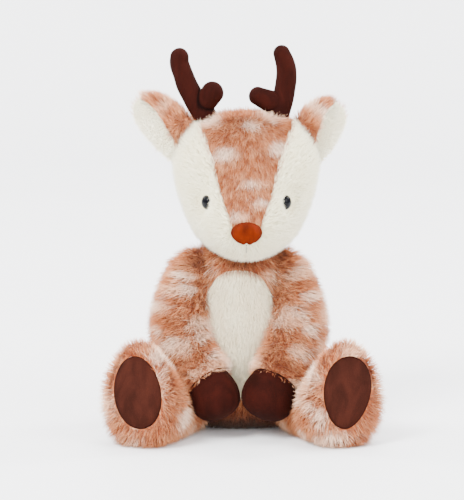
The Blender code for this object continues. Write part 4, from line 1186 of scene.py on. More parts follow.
def pellet_form():
    rings = []
    for level in range(PELLET_RINGS + 1):
        angle = math.pi * level / PELLET_RINGS
        height = PELLET_Z - PELLET_HALF_HEIGHT * math.cos(angle)
        centre = Vector((0.0, BODY_Y + PELLET_SET_BACK, height))
        wide = PELLET_HALF_WIDTH * math.sin(angle)
        deep = PELLET_HALF_DEPTH * math.sin(angle)
        rings.append(oval(centre, X_AXIS, wide, Y_AXIS, deep, PELLET_SIDES))
    return closed_loft(rings)


def add_body(body, floor_body):
    """Two fur halves, the tummy panel, the stuffing and the pellet bag."""
    front = BODY_Y - BODY_FRONT_DEPTH - OVERRUN
    back = BODY_Y + BODY_BACK_DEPTH + OVERRUN
    reach = BODY_HALF_WIDTH + OVERRUN
    opening = prism(tummy_outline(0.0), front, BODY_Y)
    whole = cut_away(floor_body, offset_copy(floor_body, -FUR_SKIN), opening)
    scattered = scattered_patches(
        floor_body, lambda place: place[1] > BODY_SPOTS_Y or abs(place[0]) > BODY_SPOTS_X, 5
    )

    def cream(place):
        if place[1] >= BODY_Y:
            return scattered(place)
        # painted shade on the band of fur under the chin
        under_chin_shade = clamp((place[2] - COLLAR_Z) / FUR_SKIN)
        # painted shadow on the fur low on the seat's front
        seat = clamp(1.0 - place[2] / SEAT_SHADE_HEIGHT)
        return scattered(place) * (1.0 - seat) - COLLAR_PAINTED_SHADE * under_chin_shade - SEAT_PAINTED_SHADE * seat

    def hanging(place):
        away = Vector(place) - Vector((0.0, BODY_Y, place[2]))
        away = away.normalized() * (1.0 - BODY_COMB_DROP_SHARE)
        return (away - Z_AXIS * BODY_COMB_DROP_SHARE).normalized()

    for side, sign in SIDES.items():
        low_x, high_x = sorted((BODY_SEAM_X + sign * SEAM / 2, sign * reach))
        half = box_mesh((low_x, front, -OVERRUN), (high_x, back, NECK_OPENING_Z))
        skin = combine(whole, half, "INTERSECT"), FUR, "torso", side
        add_piece("body_fur_cover", "body_fur", *skin, 0.8)
        grow_pile("body_pile", *skin, body, hanging, cream=cream)
    tummy = combine(body, prism(tummy_outline(SEAM), front, BODY_Y), "INTERSECT")
    skin = cut_away(tummy, offset_copy(body, -TUMMY_SKIN)), TUMMY_PLUSH, "torso", None
    add_piece("tummy_cover", "tummy_panel", *skin, 0.8)
    grow_pile("tummy_pile", *skin, body, steady(-Z_AXIS))
    bag = pellet_form()
    add_piece("pellet_pillow", "pellet_bag", bag.copy(), COTTON, "torso", None, 0.5)
    below = box_mesh((-reach, front, -OVERRUN), (reach, back, PELLET_Z - PELLET_HALF_HEIGHT))
    stuffing = cut_away(offset_copy(floor_body, -FUR_SKIN - GAP), below, offset_copy(bag, GAP))
    add_piece("body_fibre", "body_stuffing", stuffing, FIBRE, "torso", None, 0.85)


def forehead_edge(sign, inset):
    """The seam between forehead and cheek as x, z points, drawn in towards the middle."""
    edge = []
    for height, width in smooth_rows(FOREHEAD_EDGE_SHARES, FOREHEAD_EDGE_POINTS):
        x = HEAD_X + sign * (width * HEAD_HALF_WIDTH - inset)
        edge.append((x, HEAD_BASE_Z + height * HEAD_HEIGHT))
    return edge


def add_head(head, body, eyes):
    """Two cheek panels, the forehead, the head's back and the stuffing."""
    core = offset_copy(head, -FACE_SKIN)
    whole = cut_away(head, core, offset_copy(body, GAP))
    front = HEAD_Y - HEAD_FRONT_DEPTH - OVERRUN
    back = HEAD_Y + HEAD_BACK_DEPTH + OVERRUN
    crown = HEAD_BASE_Z + HEAD_HEIGHT + OVERRUN
    floor = HEAD_BASE_Z - OVERRUN
    reach = HEAD_HALF_WIDTH + OVERRUN
    rear = box_mesh((HEAD_X - reach, CROWN_SEAM_Y + SEAM, floor), (HEAD_X + reach, back, crown))

    def swept_back(place):
        rise = max(0.0, place[2] - HEAD_BASE_Z - HEAD_HEIGHT * CROWN_COMB_START_SHARE)
        near_seam = max(0.0, 1.0 - (place[1] - CROWN_SEAM_Y) / HEAD_SEAM_REACH)
        drop = CROWN_COMB_DROP_SHARE * HEAD_HEIGHT
        return Vector((0.0, rise + near_seam * HEAD_HEIGHT, -drop)).normalized()

    def shorter_at_seam(place):
        gain = SEAM_PILE_GAIN * (place[1] - CROWN_SEAM_Y) / HEAD_SEAM_REACH
        return min(1.0, SEAM_PILE_SHARE + gain)

    skin = combine(whole, rear, "INTERSECT"), FUR, "head", None
    cream = scattered_patches(head, lambda place: place[1] > HEAD_SPOTS_Y, 9)
    add_piece("head_back_cover", "head_back", *skin, 0.9)
    grow_pile("head_back_pile", *skin, head, swept_back, shorter_at_seam, cream)

    right_edge = forehead_edge(-1.0, SEAM / 2)
    left_edge = forehead_edge(1.0, SEAM / 2)
    corners = [(right_edge[-1][0], crown), (left_edge[-1][0], crown)]
    gusset = prism(right_edge + corners + left_edge[::-1], front, CROWN_SEAM_Y)

    def down_the_nose(place):
        aside = (place[0] - HEAD_X) * NOSE_COMB_ASIDE
        return Vector((aside, -NOSE_COMB_AHEAD, -1.0)).normalized()

    def shorter_at_nose(place):
        share = (place[2] - NOSE_Z) / (HEAD_BASE_Z + HEAD_HEIGHT - NOSE_Z)
        return SEAM_PILE_SHARE + (1.0 - SEAM_PILE_SHARE) * clamp(share * NOSE_PILE_GAIN)

    skin = combine(whole, gusset, "INTERSECT"), FUR, "head", None
    add_piece("forehead_cover", "forehead_gusset", *skin, 0.9)
    cream = patches_seen_ahead(FOREHEAD_PATCHES)
    grow_pile("forehead_pile", *skin, head, down_the_nose, shorter_at_nose, cream)

    nose_tip = Vector((HEAD_X, HEAD_Y - HEAD_FRONT_DEPTH, NOSE_Z))
    for side, sign in SIDES.items():
        edge = forehead_edge(sign, -SEAM / 2)
        outer = HEAD_X + sign * reach
        middle = HEAD_X + sign * SEAM / 2
        outline = [(middle, floor), (middle, edge[0][1] - GAP), *edge]
        outline += [(edge[-1][0], crown), (outer, crown), (outer, floor)]
        panel = combine(whole, prism(outline, front, CROWN_SEAM_Y), "INTERSECT")
        base, normal = eyes[side]
        washer_base = base - normal * (FACE_SKIN + WASHER_SINK + OVERRUN)
        hole = cylinder(base + normal * OVERRUN, -normal, EYE_SHANK_RADIUS + GAP, 2 * OVERRUN)
        seat = cylinder(base, normal, EYE_RADIUS + GAP, OVERRUN)
        nip = cylinder(washer_base, normal, WASHER_RADIUS + GAP, OVERRUN + GAP)

        def back_from_nose(place):
            return (Vector(place) - nose_tip).normalized()

        def parted_plush(place):
            reach = (Vector(place) - base).length / EYE_SOCKET_RADIUS
            aside = (place[0] - HEAD_X) / LIP_GROOVE_HALF_WIDTH
            under = (NOSE_Z - NOSE_HALF_HEIGHT - place[2]) / MOUTH_LENGTH
            parted = LIP_GROOVE_START < under < LIP_GROOVE_END
            groove = LIP_GROOVE_SHARE * math.exp(-aside ** 2) if parted else 0.0
            return (1.0 - EYE_BARE_SHARE * math.exp(-reach ** 4)) * (1.0 - groove)

        skin = cut_away(panel, hole, seat, nip), FACE_PLUSH, "head", side
        add_piece("cheek_cover", "face", *skin, 0.9)
        edge = FACE_SKIN * CHEEK_EDGE_SHARE
        grow_pile("cheek_pile", *skin, head, back_from_nose, parted_plush, edge=edge)
    stuffing = cut_away(offset_copy(core, -GAP), offset_copy(body, GAP))
    for side, (base, normal) in eyes.items():
        stuffing = add_eye(side, base, normal, stuffing)
    add_piece("head_fibre", "head_stuffing", stuffing, FIBRE, "head", None, 0.95)


def add_eye(side, base, normal, stuffing):
    """A domed eye on its shank; gives back the stuffing with room for it and the washer."""
    profile = [(-EYE_SHANK_LENGTH, 0.0), (-EYE_SHANK_LENGTH, EYE_SHANK_RADIUS)]
    profile += [(GAP, EYE_SHANK_RADIUS), (GAP, EYE_RADIUS)]
    for rise, narrow in quarter_turn(EYE_RINGS):
        profile.append((GAP + EYE_DOME * rise, EYE_RADIUS * narrow))
    add_piece("eye_dome", "eye", turned(base, normal, profile), EYE_PLASTIC, "head", side)
    washer_base = base - normal * (FACE_SKIN + WASHER_SINK + WASHER_THICKNESS)
    washer = cylinder(washer_base, normal, WASHER_RADIUS, WASHER_THICKNESS)
    bore_radius = EYE_SHANK_RADIUS + GAP
    bore = cylinder(washer_base - normal * OVERRUN, normal, bore_radius, 2 * OVERRUN)
    disc = cut_away(washer, bore)
    add_piece("washer_disc", "eye_washer", disc, WASHER_PLASTIC, "head", side)
    shank_base = base - normal * (EYE_SHANK_LENGTH + GAP)
    shank = cylinder(shank_base, normal, bore_radius, EYE_SHANK_LENGTH + OVERRUN)
    room = cylinder(washer_base - normal * GAP, normal, WASHER_RADIUS + GAP, OVERRUN)
    return cut_away(stuffing, shank, room)


def add_nose(head):
    """A puffy velveteen pad, gathered below its middle, and the stitched line under it."""
    base, normal = on_surface(head, HEAD_X, NOSE_Z)
    outward = Vector((0.0, normal.y, normal.z)).normalized()
    up = (Z_AXIS - outward * outward.z).normalized()
    rings = []
    for level in range(NOSE_RINGS + 1):
        angle = math.pi * level / NOSE_RINGS
        centre = base - outward * (NOSE_PROUD + FACE_SKIN) * math.cos(angle)
        spread = math.sin(angle) ** NOSE_ROUNDING_SHARE
        ring = oval(
            centre, up, NOSE_HALF_HEIGHT * spread, X_AXIS, NOSE_HALF_WIDTH * spread, NOSE_SIDES
        )
        for point in ring:
            rise = (point - centre).dot(up)
            aside = (point - centre).dot(X_AXIS)
            point -= up * (NOSE_FLAT_TOP_SHARE * max(rise, 0.0))
            below = max(0.0, -rise / NOSE_HALF_HEIGHT)
            point -= X_AXIS * (aside * NOSE_TAPER_SHARE * below)
            pleat = math.cos(aside / NOSE_PLEAT_WIDTH) * math.exp(-(aside / NOSE_GATHER_WIDTH) ** 2)
            point -= outward * (NOSE_GATHER_DEPTH * below * below * pleat)
            lift = NOSE_PLEAT_LIFT_SHARE * NOSE_GATHER_DEPTH * below ** 3
            point += up * (lift * max(pleat, 0.0))
        rings.append(ring)
    pad = cut_away(closed_loft(rings), offset_copy(head, GAP))
    add_piece("nose_pad", "nose", pad, VELVETEEN, "head", None, 0.9)
    path = []
    top = NOSE_Z - NOSE_HALF_HEIGHT - GAP - THREAD_RADIUS
    for step in range(MOUTH_STEPS + 1):
        spot, away = on_surface(head, HEAD_X, top - MOUTH_LENGTH * step / MOUTH_STEPS)
        path.append(spot + away * (THREAD_RADIUS + GAP))
    rings = rings_on(path_frames(path, X_AXIS), [THREAD_RADIUS] * len(path), THREAD_SIDES)
    add_piece("mouth_thread", "mouth_stitch", closed_loft(rings), THREAD, "head", None)


def antler_path(table, count, side, radius):
    """Places and radii along a beam or a tine."""
    path = []
    for out, back, up, fullness in smooth_rows(table[side], count):
        x = HEAD_X + SIDES[side] * (ANTLER_BASE_X[side] + out * ANTLER_LEAN)
        place = Vector((x, HEAD_Y + back * ANTLER_BACK, ANTLER_BASE_Z + up * ANTLER_RISE))
        path.append((place, fullness * radius))
    return path


def rounded_tube(path, inset, sides, round_start):
    """A tube along places with radii, half-round at its tip or at both ends."""
    centres = [place for place, radius in path]
    radii = [radius - inset for place, radius in path]
    first, start = centres[0], radii[0]
    last, end = centres[-1], radii[-1]
    root = (centres[0] - centres[1]).normalized()
    tip = (centres[-1] - centres[-2]).normalized()
    for rise, narrow in quarter_turn(ANTLER_END_RINGS):
        centres.append(last + tip * (end * rise))
        radii.append(end * narrow)
        if round_start:
            centres.insert(0, first + root * (start * rise))
            radii.insert(0, start * narrow)
    return closed_loft(rings_on(path_frames(centres, Y_AXIS), radii, sides))


def add_antlers(head):
    """Suede covers, open where they meet the head, each round its own stuffing."""
    whole = {}
    for side in SIDES:
        beam = antler_path(ANTLER_BEAM_SHARES, ANTLER_BEAM_RINGS, side, ANTLER_RADIUS)
        tine = antler_path(ANTLER_TINE_SHARES, ANTLER_TINE_RINGS, side, TINE_RADIUS)

        def forked(inset, sides):
            fork = rounded_tube(beam, inset, sides, inset == SUEDE_SKIN)
            return combine(fork, rounded_tube(tine, inset, sides, True), "UNION")

        whole[side] = forked(0.0, ANTLER_SIDES)
        scalp = offset_copy(head, GAP)
        cover = cut_away(whole[side], forked(SUEDE_SKIN, ANTLER_CORE_SIDES), scalp)
        add_piece("antler_cover", "antler", cover, SUEDE, "head", side, 0.95)
        tubes = [surface_tree(rounded_tube(path, 0.0, ANTLER_SIDES, True)) for path in (beam, tine)]
        # painted shade along the join of beam and tine, darkest where both surfaces are near
        fork_shades = []
        for place in mesh_points(cover):
            apart = sum(tube.find_nearest(place)[3] for tube in tubes)
            fork_shades.append(FORK_SHADE_SHARE[side] * math.exp(-(apart / FORK_SHADE_WIDTH) ** 2))
        mark(cover, "fork_shade", fork_shades)
        core = cut_away(forked(SUEDE_SKIN + GAP, ANTLER_CORE_SIDES), scalp)
        add_piece("antler_fibre", "antler_stuffing", core, FIBRE, "head", side, 0.95)
    return whole


def ear_axes(side):
    """The ear's hinge, the way along the ear and the way up across it."""
    sign = SIDES[side]
    lean = math.radians(EAR_LEAN_DEG[side])
    hinge = Vector((HEAD_X + sign * EAR_BASE_X, EAR_BASE_Y, EAR_BASE_Z))
    along = Vector((sign * math.sin(lean), 0.0, math.cos(lean)))
    upper = Vector((-sign * math.cos(lean), 0.0, math.sin(lean)))
    return hinge, along, upper


def ear_section(half_width, fold, front_share, inset):
    """Across the ear, from the front edge round the fold to the rear edge, moved into the cup."""
    least = EAR_LEAST_WALL_SHARE * fold
    front = max(2 * half_width * front_share, least)
    rear = max(2 * half_width, least)
    section = []
    for k in range(EAR_WALL_POINTS):
        section.append(Vector((front + (fold - front) * k / EAR_WALL_POINTS, fold)))
    for k in range(EAR_FOLD_POINTS + 1):
        angle = math.pi * k / EAR_FOLD_POINTS
        section.append(Vector((fold - fold * math.sin(angle), fold * math.cos(angle))))
    for k in range(1, EAR_WALL_POINTS + 1):
        section.append(Vector((fold + (rear - fold) * k / EAR_WALL_POINTS, -fold)))
    last = len(section) - 1
    moved = []
    for k, point in enumerate(section):
        along = section[min(k + 1, last)] - section[max(k - 1, 0)]
        moved.append(point + Vector((-along.y, along.x)).normalized() * inset)
    return moved


def ear_rows(side, inset):
    """Rows of points up the ear's outer face, moved into the cup by an inset."""
    hinge, along, upper = ear_axes(side)
    rows = []
    for length, width, fold, front_share in smooth_rows(EAR_OUTLINE_SHARES, EAR_RINGS):
        half_width = width * EAR_HALF_WIDTH
        section = ear_section(half_width, fold * EAR_FOLD_RADIUS, front_share, inset * fold)
        spine = hinge + along * (length * EAR_LENGTH[side]) + upper * half_width
        rows.append([spine - upper * point.x - Y_AXIS * point.y for point in section])
    return rows


def ear_layer(side, near, far):
    """One fabric layer of the ear, between two distances from its outer face."""
    rows = zip(ear_rows(side, near), ear_rows(side, far))
    return closed_loft([outer + inner[::-1] for outer, inner in rows])


def add_ears(head, antlers):
    """Fur back and smooth lining of each ear, clear of head and antler as they fold."""
    lining_near = EAR_BACK_SKIN + GAP
    lining_far = lining_near + EAR_LINING_SKIN
    seam_lean = math.radians(EAR_SEAM_LEAN_DEG)
    for side, sign in SIDES.items():
        hinge, along, _ = ear_axes(side)
        axis = Vector((-sign * math.sin(seam_lean), 0.0, math.cos(seam_lean)))
        angles = [EAR_BEND_DEG * share for share in (0.0, -1.0, -0.5, 0.5, 1.0)]
        clearance = swept_clearance(head, GAP, hinge, axis, angles)
        clearance += swept_clearance(antlers[side], GAP, hinge, axis, angles)

        def height(place):
            return (Vector(place) - hinge).dot(along) / EAR_LENGTH[side]

        def ear_cream(place):
            values = [0.0]
            for centre, spread, strength in EAR_BANDS[side]:
                values.append(strength * math.exp(-((height(place) - centre) / spread) ** 2))
            return max(values)

        def ear_comb(place):
            behind = EAR_COMB_BACK if place[1] > hinge.y else 0.0
            rise = clamp((height(place) - EAR_COMB_TURN) / EAR_COMB_SPAN, EAR_COMB_LEAST_RISE)
            drop = EAR_COMB_DROP - EAR_COMB_DROP * abs(rise)
            return (along * rise + Y_AXIS * behind - Z_AXIS * drop).normalized()

        back = cut_away(ear_layer(side, 0.0, EAR_BACK_SKIN), *clearance)
        skin = back, FUR, side + "_ear", side
        add_piece("ear_cover", "ear_back", *skin, 0.3)
        outside = open_sheet(ear_rows(side, 0.0))
        grow_pile("ear_pile", *skin, outside, ear_comb, cream=ear_cream)
        lining = cut_away(ear_layer(side, lining_near, lining_far), *clearance)
        skin = lining, LINING_PLUSH, side + "_ear", side
        add_piece("ear_lining_cover", "ear_lining", *skin, 0.3)
        inside = open_sheet(ear_rows(side, lining_far))
        edge = EAR_LINING_SKIN * LINING_EDGE_SHARE
        grow_pile("ear_lining_pile", *skin, inside, steady(along), edge=edge)


def arm_path(side):
    """Centres and radii of the sleeve from the shoulder to the wrist."""
    sign = SIDES[side]
    sleeve = []
    for out, ahead, down, radius in ARM_PATH_SHARES:
        x = sign * (SHOULDER_X - ARM_TUCK[side] + out * ARM_SPREAD)
        z = SHOULDER_Z - down * ARM_DROP
        sleeve.append([x, SHOULDER_Y - ahead * ARM_REACH, z, radius * ARM_RADIUS])
    sleeve[-1][0] = sign * (HAND_X[side] + HOOF_TURN_IN)
    rows = smooth_rows(sleeve, ARM_RINGS)
    return [Vector(row[:3]) for row in rows], [row[3] for row in rows]


def hoof_path(side, wrist):
    """Centres and radii of the hoof from the wrist to its tip."""
    drop = math.sqrt(HOOF_LENGTH ** 2 - HOOF_REACH ** 2 - HOOF_TURN_IN ** 2)
    along = Vector((-SIDES[side] * HOOF_TURN_IN, -HOOF_REACH, -drop)).normalized()
    rows = smooth_rows(HOOF_PROFILE_SHARES, HOOF_RINGS)
    centres = [wrist + along * (length * HOOF_LENGTH) for length, radius in rows]
    return centres, [radius * HOOF_RADIUS[side] for length, radius in rows]


def inner_rings(frames, radii, thin, sides):
    """Rings a fabric's thickness inside the rings on a path, up to its round tip."""
    rings = []
    last = len(frames) - 1
    for k in range(last):
        centre, direction, first, second = frames[k]
        run = (frames[k + 1][0] - frames[max(k - 1, 0)][0]).length
        slope = math.atan2(radii[max(k - 1, 0)] - radii[k + 1], run)
        radius = radii[k] - thin * math.cos(slope)
        centre = centre - direction * (thin * math.sin(slope))
        if radius > thin:
            rings.append(oval(centre, first, radius, second, radius, sides))
    tip, direction = frames[last][:2]
    rings.append([tip - direction * thin])
    return rings


def arm_core(frames, sleeve_radii, hoof_radii):
    """One soft core that runs through the sleeve, the wrist and the hoof."""
    wrist = len(sleeve_radii) - 1
    radii = [radius - FUR_SKIN - GAP for radius in sleeve_radii[:wrist]]
    first = next(k for k, radius in enumerate(radii) if radius > FUR_SKIN / 2)
    rings = [[frames[first - 1][0]]] + rings_on(frames[first:wrist], radii[first:], ARM_SIDES)
    rings += inner_rings(frames[wrist:], hoof_radii, SUEDE_SKIN + GAP, ARM_SIDES)
    return closed_loft(rings)


def add_arms(body, legs):
    """Fur sleeve, suede hoof and the stuffing that fills both."""
    for side, sign in SIDES.items():
        shoulder = Vector((sign * SHOULDER_X, SHOULDER_Y, SHOULDER_Z))
        centres, radii = arm_path(side)
        hoof_centres, hoof_radii = hoof_path(side, centres[-1])
        frames = path_frames(centres + hoof_centres[1:], X_AXIS)
        wrist = len(centres) - 1
        sleeve = closed_loft(rings_on(frames[:wrist + 1], radii, ARM_SIDES))
        hoof = closed_loft(rings_on(frames[wrist:], hoof_radii, ARM_SIDES, GAP))
        core = arm_core(frames, radii, hoof_radii)
        room = offset_copy(core, GAP)
        angles = [ARM_SWING_DEG * share for share in (0.0, 0.25, 0.5, 0.75, 1.0)]
        clearance = swept_clearance(body, MOVING_GAP, shoulder, X_AXIS, angles)
        for leg in legs.values():
            clearance += swept_clearance(leg, MOVING_GAP, shoulder, X_AXIS, angles[:3])
        runs = [run[:2] for run in frames[:wrist + 1]]
        cuff_end, cuff_way = runs[-1]

        def along_arm(place):
            place = Vector(place)
            near, direction = min(runs, key=lambda run: (run[0] - place).length_squared)
            away = place - near
            away -= direction * away.dot(direction)
            cuff = max(0.0, 1.0 - (place.z - cuff_end.z) / CUFF_REACH)
            down = direction * (ARM_COMB_DOWN - (ARM_COMB_DOWN - CUFF_COMB_DOWN) * cuff)
            outwards = X_AXIS * (sign * ARM_COMB_OUT * (1.0 - cuff))
            away = away.normalized() * (ARM_COMB_AWAY + (1.0 - ARM_COMB_AWAY) * cuff)
            return (down + away + outwards).normalized()

        def trimmed_at_cuff(place):
            back = (cuff_end - Vector(place)).dot(cuff_way) / CUFF_TRIM_REACH
            return CUFF_TRIM_SHARE + (1.0 - CUFF_TRIM_SHARE) * clamp(back)

        seen = patches_seen_ahead(ARM_PATCHES[side])
        far = scattered_patches(sleeve, lambda place: place[1] > ARM_SPOTS_Y, 13)

        def arm_cream(place):
            if place[1] < 0.0:
                return seen(place)
            return max(ARM_SIDE_SPOTS_SHARE * seen(place), far(place))

        arm_body = side + "_arm"
        skin = cut_away(sleeve, room, *clearance), FUR, arm_body, side
        add_piece("sleeve_cover", "arm", *skin, 0.9)
        grow_pile("sleeve_pile", *skin, sleeve, along_arm, trimmed_at_cuff, arm_cream)
        hoof = cut_away(hoof, room, *clearance)
        add_piece("hoof_cover", "hoof", hoof, SUEDE, arm_body, side, 0.95)
        core = cut_away(core, *clearance)
        add_piece("arm_fibre", "arm_stuffing", core, FIBRE, arm_body, side, 0.9)


def leg_axes(side):
    """The leg's root under the seat, the way along the leg and the level way across it."""
    splay = math.radians(LEG_SPLAY_DEG)
    along = Vector((SIDES[side] * math.sin(splay), -math.cos(splay), 0.0))
    hip = Vector((SIDES[side] * HIP_X, HIP_Y, -SEAT_CUT))
    return hip, along, Vector((along.y, -along.x, 0.0))


def leg_form(side):
    """The leg lies along the floor; its rings stand upright across it, broader below."""
    hip, along, across = leg_axes(side)
    rings = []
    for length, width, low, high in smooth_rows(LEG_OUTLINE_SHARES, LEG_RINGS):
        half_height = 0.5 * (high - low) * FOOT_HEIGHT
        centre = hip + along * (length * LEG_LENGTH)
        centre += Z_AXIS * (0.5 * (high + low) * FOOT_HEIGHT)
        ring = []
        for point in oval(centre, Z_AXIS, half_height, across, width * LEG_HALF_WIDTH, LEG_SIDES):
            rise = (point.z - centre.z) / max(half_height, POLE_RADIUS)
            aside = (point - centre).dot(across)
            ring.append(point - across * (aside * LEG_FULLNESS_SHARE * rise))
        rings.append(ring)
    return closed_loft(rings)


def sole_plate(side, inset, low, high, crown=0.0):
    """An egg-shaped plate across the leg's end, from low to high along the leg."""
    hip, along, across = leg_axes(side)
    tilt = math.radians(SOLE_TILT_DEG) * SIDES[side]
    over = across * math.cos(tilt) + Z_AXIS * math.sin(tilt)
    up = Z_AXIS * math.cos(tilt) - across * math.sin(tilt)
    middle = hip + Z_AXIS * (SOLE_Z + SEAT_CUT)
    levels = [(low, 1.0), (high, 1.0)]
    if crown:
        levels += [(high + crown * rise, narrow) for rise, narrow in quarter_turn(SOLE_RINGS)]
    rings = []
    for distance, share in levels:
        centre = middle + along * distance
        ring = []
        for k in range(SOLE_POINTS):
            angle = 2 * math.pi * k / SOLE_POINTS
            fullness = 1.0 + SOLE_FULLNESS_SHARE[side] * math.cos(angle)
            wide = (SOLE_HALF_WIDTH - inset) * math.sin(angle) * fullness
            tall = (SOLE_HALF_HEIGHT - inset) * math.cos(angle)
            ring.append(centre + over * (wide * share) + up * (tall * share))
        rings.append(ring if share > POLE_RADIUS else [centre])
    return closed_loft(rings)


def add_legs(body, legs):
    """Fur sleeve open at the sole, the suede sole that closes it, and the stuffing."""
    inner_end = LEG_LENGTH - SOLE_THICKNESS
    for side, sign in SIDES.items():
        form = leg_form(side)
        hip, along, _ = leg_axes(side)
        hinge = Vector((sign * HIP_X, HIP_Y, 0.0))
        leg_body = side + "_leg"
        angles = [-sign * LEG_SWING_DEG * share for share in (0.0, 0.5, 1.0)]
        clearance = swept_clearance(body, MOVING_GAP, hinge, Z_AXIS, angles)
        hole = sole_plate(side, -GAP, LEG_LENGTH - 2 * FUR_SKIN, LEG_LENGTH + OVERRUN)
        middle = hip + Z_AXIS * SOLE_Z

        def towards_foot(place):
            reach = (Vector(place) - middle).dot(along)
            away = Vector(place) - middle - along * reach
            return (along * LEG_COMB_ALONG + away.normalized() * LEG_COMB_AWAY).normalized()

        seen = patches_seen_ahead(LEG_PATCHES[side])
        far = scattered_patches(
            form, lambda place: place[1] > LEG_SPOTS_Y and place[2] > LEG_SPOTS_Z, 17
        )

        def leg_cream(place):
            return max(seen(place) if place[1] < LEG_FRONT_Y else 0.0, far(place))

        def shorter_above(place):
            return 1.0 - TOP_TRIM_SHARE * max(0.0, place[2] - SOLE_Z) / (FOOT_HEIGHT - SOLE_Z)

        sleeve = cut_away(legs[side], offset_copy(form, -FUR_SKIN), hole, *clearance)
        skin = sleeve, FUR, leg_body, side
        add_piece("leg_cover", "leg", *skin, 0.9)
        ways = towards_foot, shorter_above, leg_cream
        grow_pile("leg_pile", *skin, legs[side], *ways, lowest=FUR_SKIN / 4)
        sole = sole_plate(side, 0.0, inner_end, LEG_LENGTH, SOLE_CROWN)
        add_piece("sole_cover", "sole", sole, SOLE_SUEDE, leg_body, side, 0.8)
        behind = sole_plate(side, -GAP, inner_end - GAP, LEG_LENGTH + OVERRUN)
        core = cut_away(offset_copy(form, -FUR_SKIN - GAP), *clearance, behind)
        add_piece("leg_fibre", "leg_stuffing", core, FIBRE, leg_body, side, 0.9)


def add_tail(body):
    """A short fur tail that springs up from the back of the seat."""
    rise = math.radians(TAIL_RISE_DEG)
    along = Vector((0.0, math.cos(rise), math.sin(rise)))
    root, _ = on_surface(body, 0.0, TAIL_Z, -Y_AXIS)
    rows = smooth_rows(TAIL_OUTLINE_SHARES, TAIL_RINGS)
    centres = [root + along * (length * TAIL_LENGTH - TAIL_SINK) for length, radius in rows]
    radii = [radius * TAIL_RADIUS for length, radius in rows]
    form = closed_loft(rings_on(path_frames(centres, X_AXIS), radii, TAIL_SIDES))
    angles = [TAIL_BEND_DEG * share for share in (0.0, -1.0, 1.0)]
    clearance = swept_clearance(body, GAP, root, X_AXIS, angles)

    def tail_cream(place):
        return 1.0 if (Vector(place) - root).dot(along) > TAIL_TIP_SHARE * TAIL_LENGTH else 0.0

    skin = cut_away(form, *clearance), FUR, "tail", None
    add_piece("tail_cover", "tail", *skin, 0.7)
    grow_pile("tail_pile", *skin, form, steady(along), cream=tail_cream)


def add_room():
    """A pale floor that bends up into a backdrop, and soft lights."""
    rows = [(ROOM_FRONT_Y + FLOOR_STEP * step, 0.0) for step in range(ROOM_STEPS)]
    for rise, narrow in [(0.0, 1.0)] + quarter_turn(ROOM_BEND_STEPS):
        rows.append((ROOM_BEND_Y + ROOM_BEND_RADIUS * rise, ROOM_BEND_RADIUS * (1.0 - narrow)))
    for step in range(1, ROOM_STEPS + 1):
        rows.append((ROOM_BEND_Y + ROOM_BEND_RADIUS, ROOM_BEND_RADIUS + WALL_STEP * step))
    ends = (-ROOM_HALF_WIDTH, ROOM_HALF_WIDTH)
    mesh = open_sheet([[(x, y, z) for x in ends] for y, z in rows])
    mesh.shade_smooth()
    material, board = new_material("pale_floor")
    soft = board.clouds(board.place(), 3.0)
    paint = board.blend(colour(236, 236, 238), colour(242, 242, 243), soft)
    board.feed(base_color=paint, roughness=0.6)
    mesh.materials.append(material)
    link("studio_floor", mesh)

    world = bpy.data.worlds.new("studio")
    world.use_nodes = True
    bpy.context.scene.world = world
    sky = world.node_tree.nodes["Background"]
    sky.inputs["Color"].default_value = (0.95, 0.97, 1.0, 1.0)
    sky.inputs["Strength"].default_value = SKY_STRENGTH
    for name, place, target, size, power in LIGHTS:
        lamp = bpy.data.lights.new(name, "AREA")
        lamp.shape = "DISK"
        lamp.size = size
        lamp.energy = power
        light = link(name, lamp)
        light.location = place
        light.rotation_euler = (target - place).to_track_quat("-Z", "Y").to_euler()


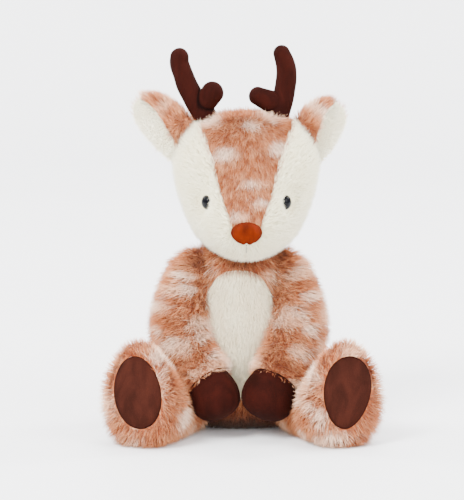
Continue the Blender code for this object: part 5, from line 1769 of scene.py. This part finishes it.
def add_camera():
    """The photograph's view."""
    camera = link("photo_view", bpy.data.cameras.new("photo_view"))
    rise = math.radians(VIEW_ELEVATION_DEG)
    away = Vector((0.0, -math.cos(rise), math.sin(rise))) * VIEW_DISTANCE
    camera.location = VIEW_TARGET + away
    camera.rotation_euler = (-away).to_track_quat("-Z", "Y").to_euler()
    camera.data.sensor_fit = "VERTICAL"
    camera.data.sensor_height = SENSOR_HEIGHT_MM
    camera.data.lens = SENSOR_HEIGHT_MM * VIEW_DISTANCE / VIEW_HEIGHT
    camera.data.clip_end = 20.0
    bpy.context.scene.camera = camera


def main():
    body = body_form()
    head, eyes = head_form()
    legs = {side: stand_on_floor(leg_form(side)) for side in SIDES}
    add_body(body, stand_on_floor(body.copy()))
    add_head(head, body, eyes)
    add_nose(head)
    antlers = add_antlers(head)
    add_ears(head, antlers)
    add_legs(body, legs)
    add_arms(body, legs)
    add_tail(body)
    add_room()
    add_camera()


# Each finish is a material and its slot in the record
FUR = fur_material(), "tan_fur"
FACE_PLUSH, TUMMY_PLUSH, LINING_PLUSH = (
    (plush_material(name, colour(*light), colour(*dark)), "cream_plush")
    for name, light, dark in (
        ("cheek_plush", (255, 250, 221), (244, 233, 194)),
        ("tummy_plush", (255, 246, 217), (236, 218, 180)),
        ("lining_plush", (255, 252, 232), (248, 239, 210)),
    )
)
SUEDE, SOLE_SUEDE, VELVETEEN = (
    (suede_material(name, colour(*deep), colour(*brushed), scale), slot)
    for name, deep, brushed, scale, slot in (
        ("hoof_suede", (19, 4, 2), (45, 13, 8), 1.0, "brown_suede"),
        ("sole_suede", (28, 10, 6), (58, 26, 18), 1.0, "brown_suede"),
        ("nose_velveteen", (46, 9, 1), (102, 30, 6), 1.8, "rust_velveteen"),
    )
)
EYE_PLASTIC, WASHER_PLASTIC = (
    (plastic_material(name, colour(*tint), roughness, shine), slot)
    for name, tint, roughness, shine, slot in (
        ("eye_plastic", (5, 5, 8), 0.08, 0.1, "black_plastic"),
        ("washer_plastic", (226, 226, 222), 0.45, 0.5, "white_plastic"),
    )
)
FIBRE, COTTON, THREAD = (
    (cloth_material(name, colour(*tint), scale), slot)
    for name, tint, scale, slot in (
        ("white_fibre", (238, 238, 235), 500.0, "white_fibre"),
        ("cotton_cloth", (220, 216, 204), 1500.0, "cotton_bag"),
        ("grey_thread", (150, 140, 126), 1800.0, "grey_thread"),
    )
)
PILE = pile_tree()

main()
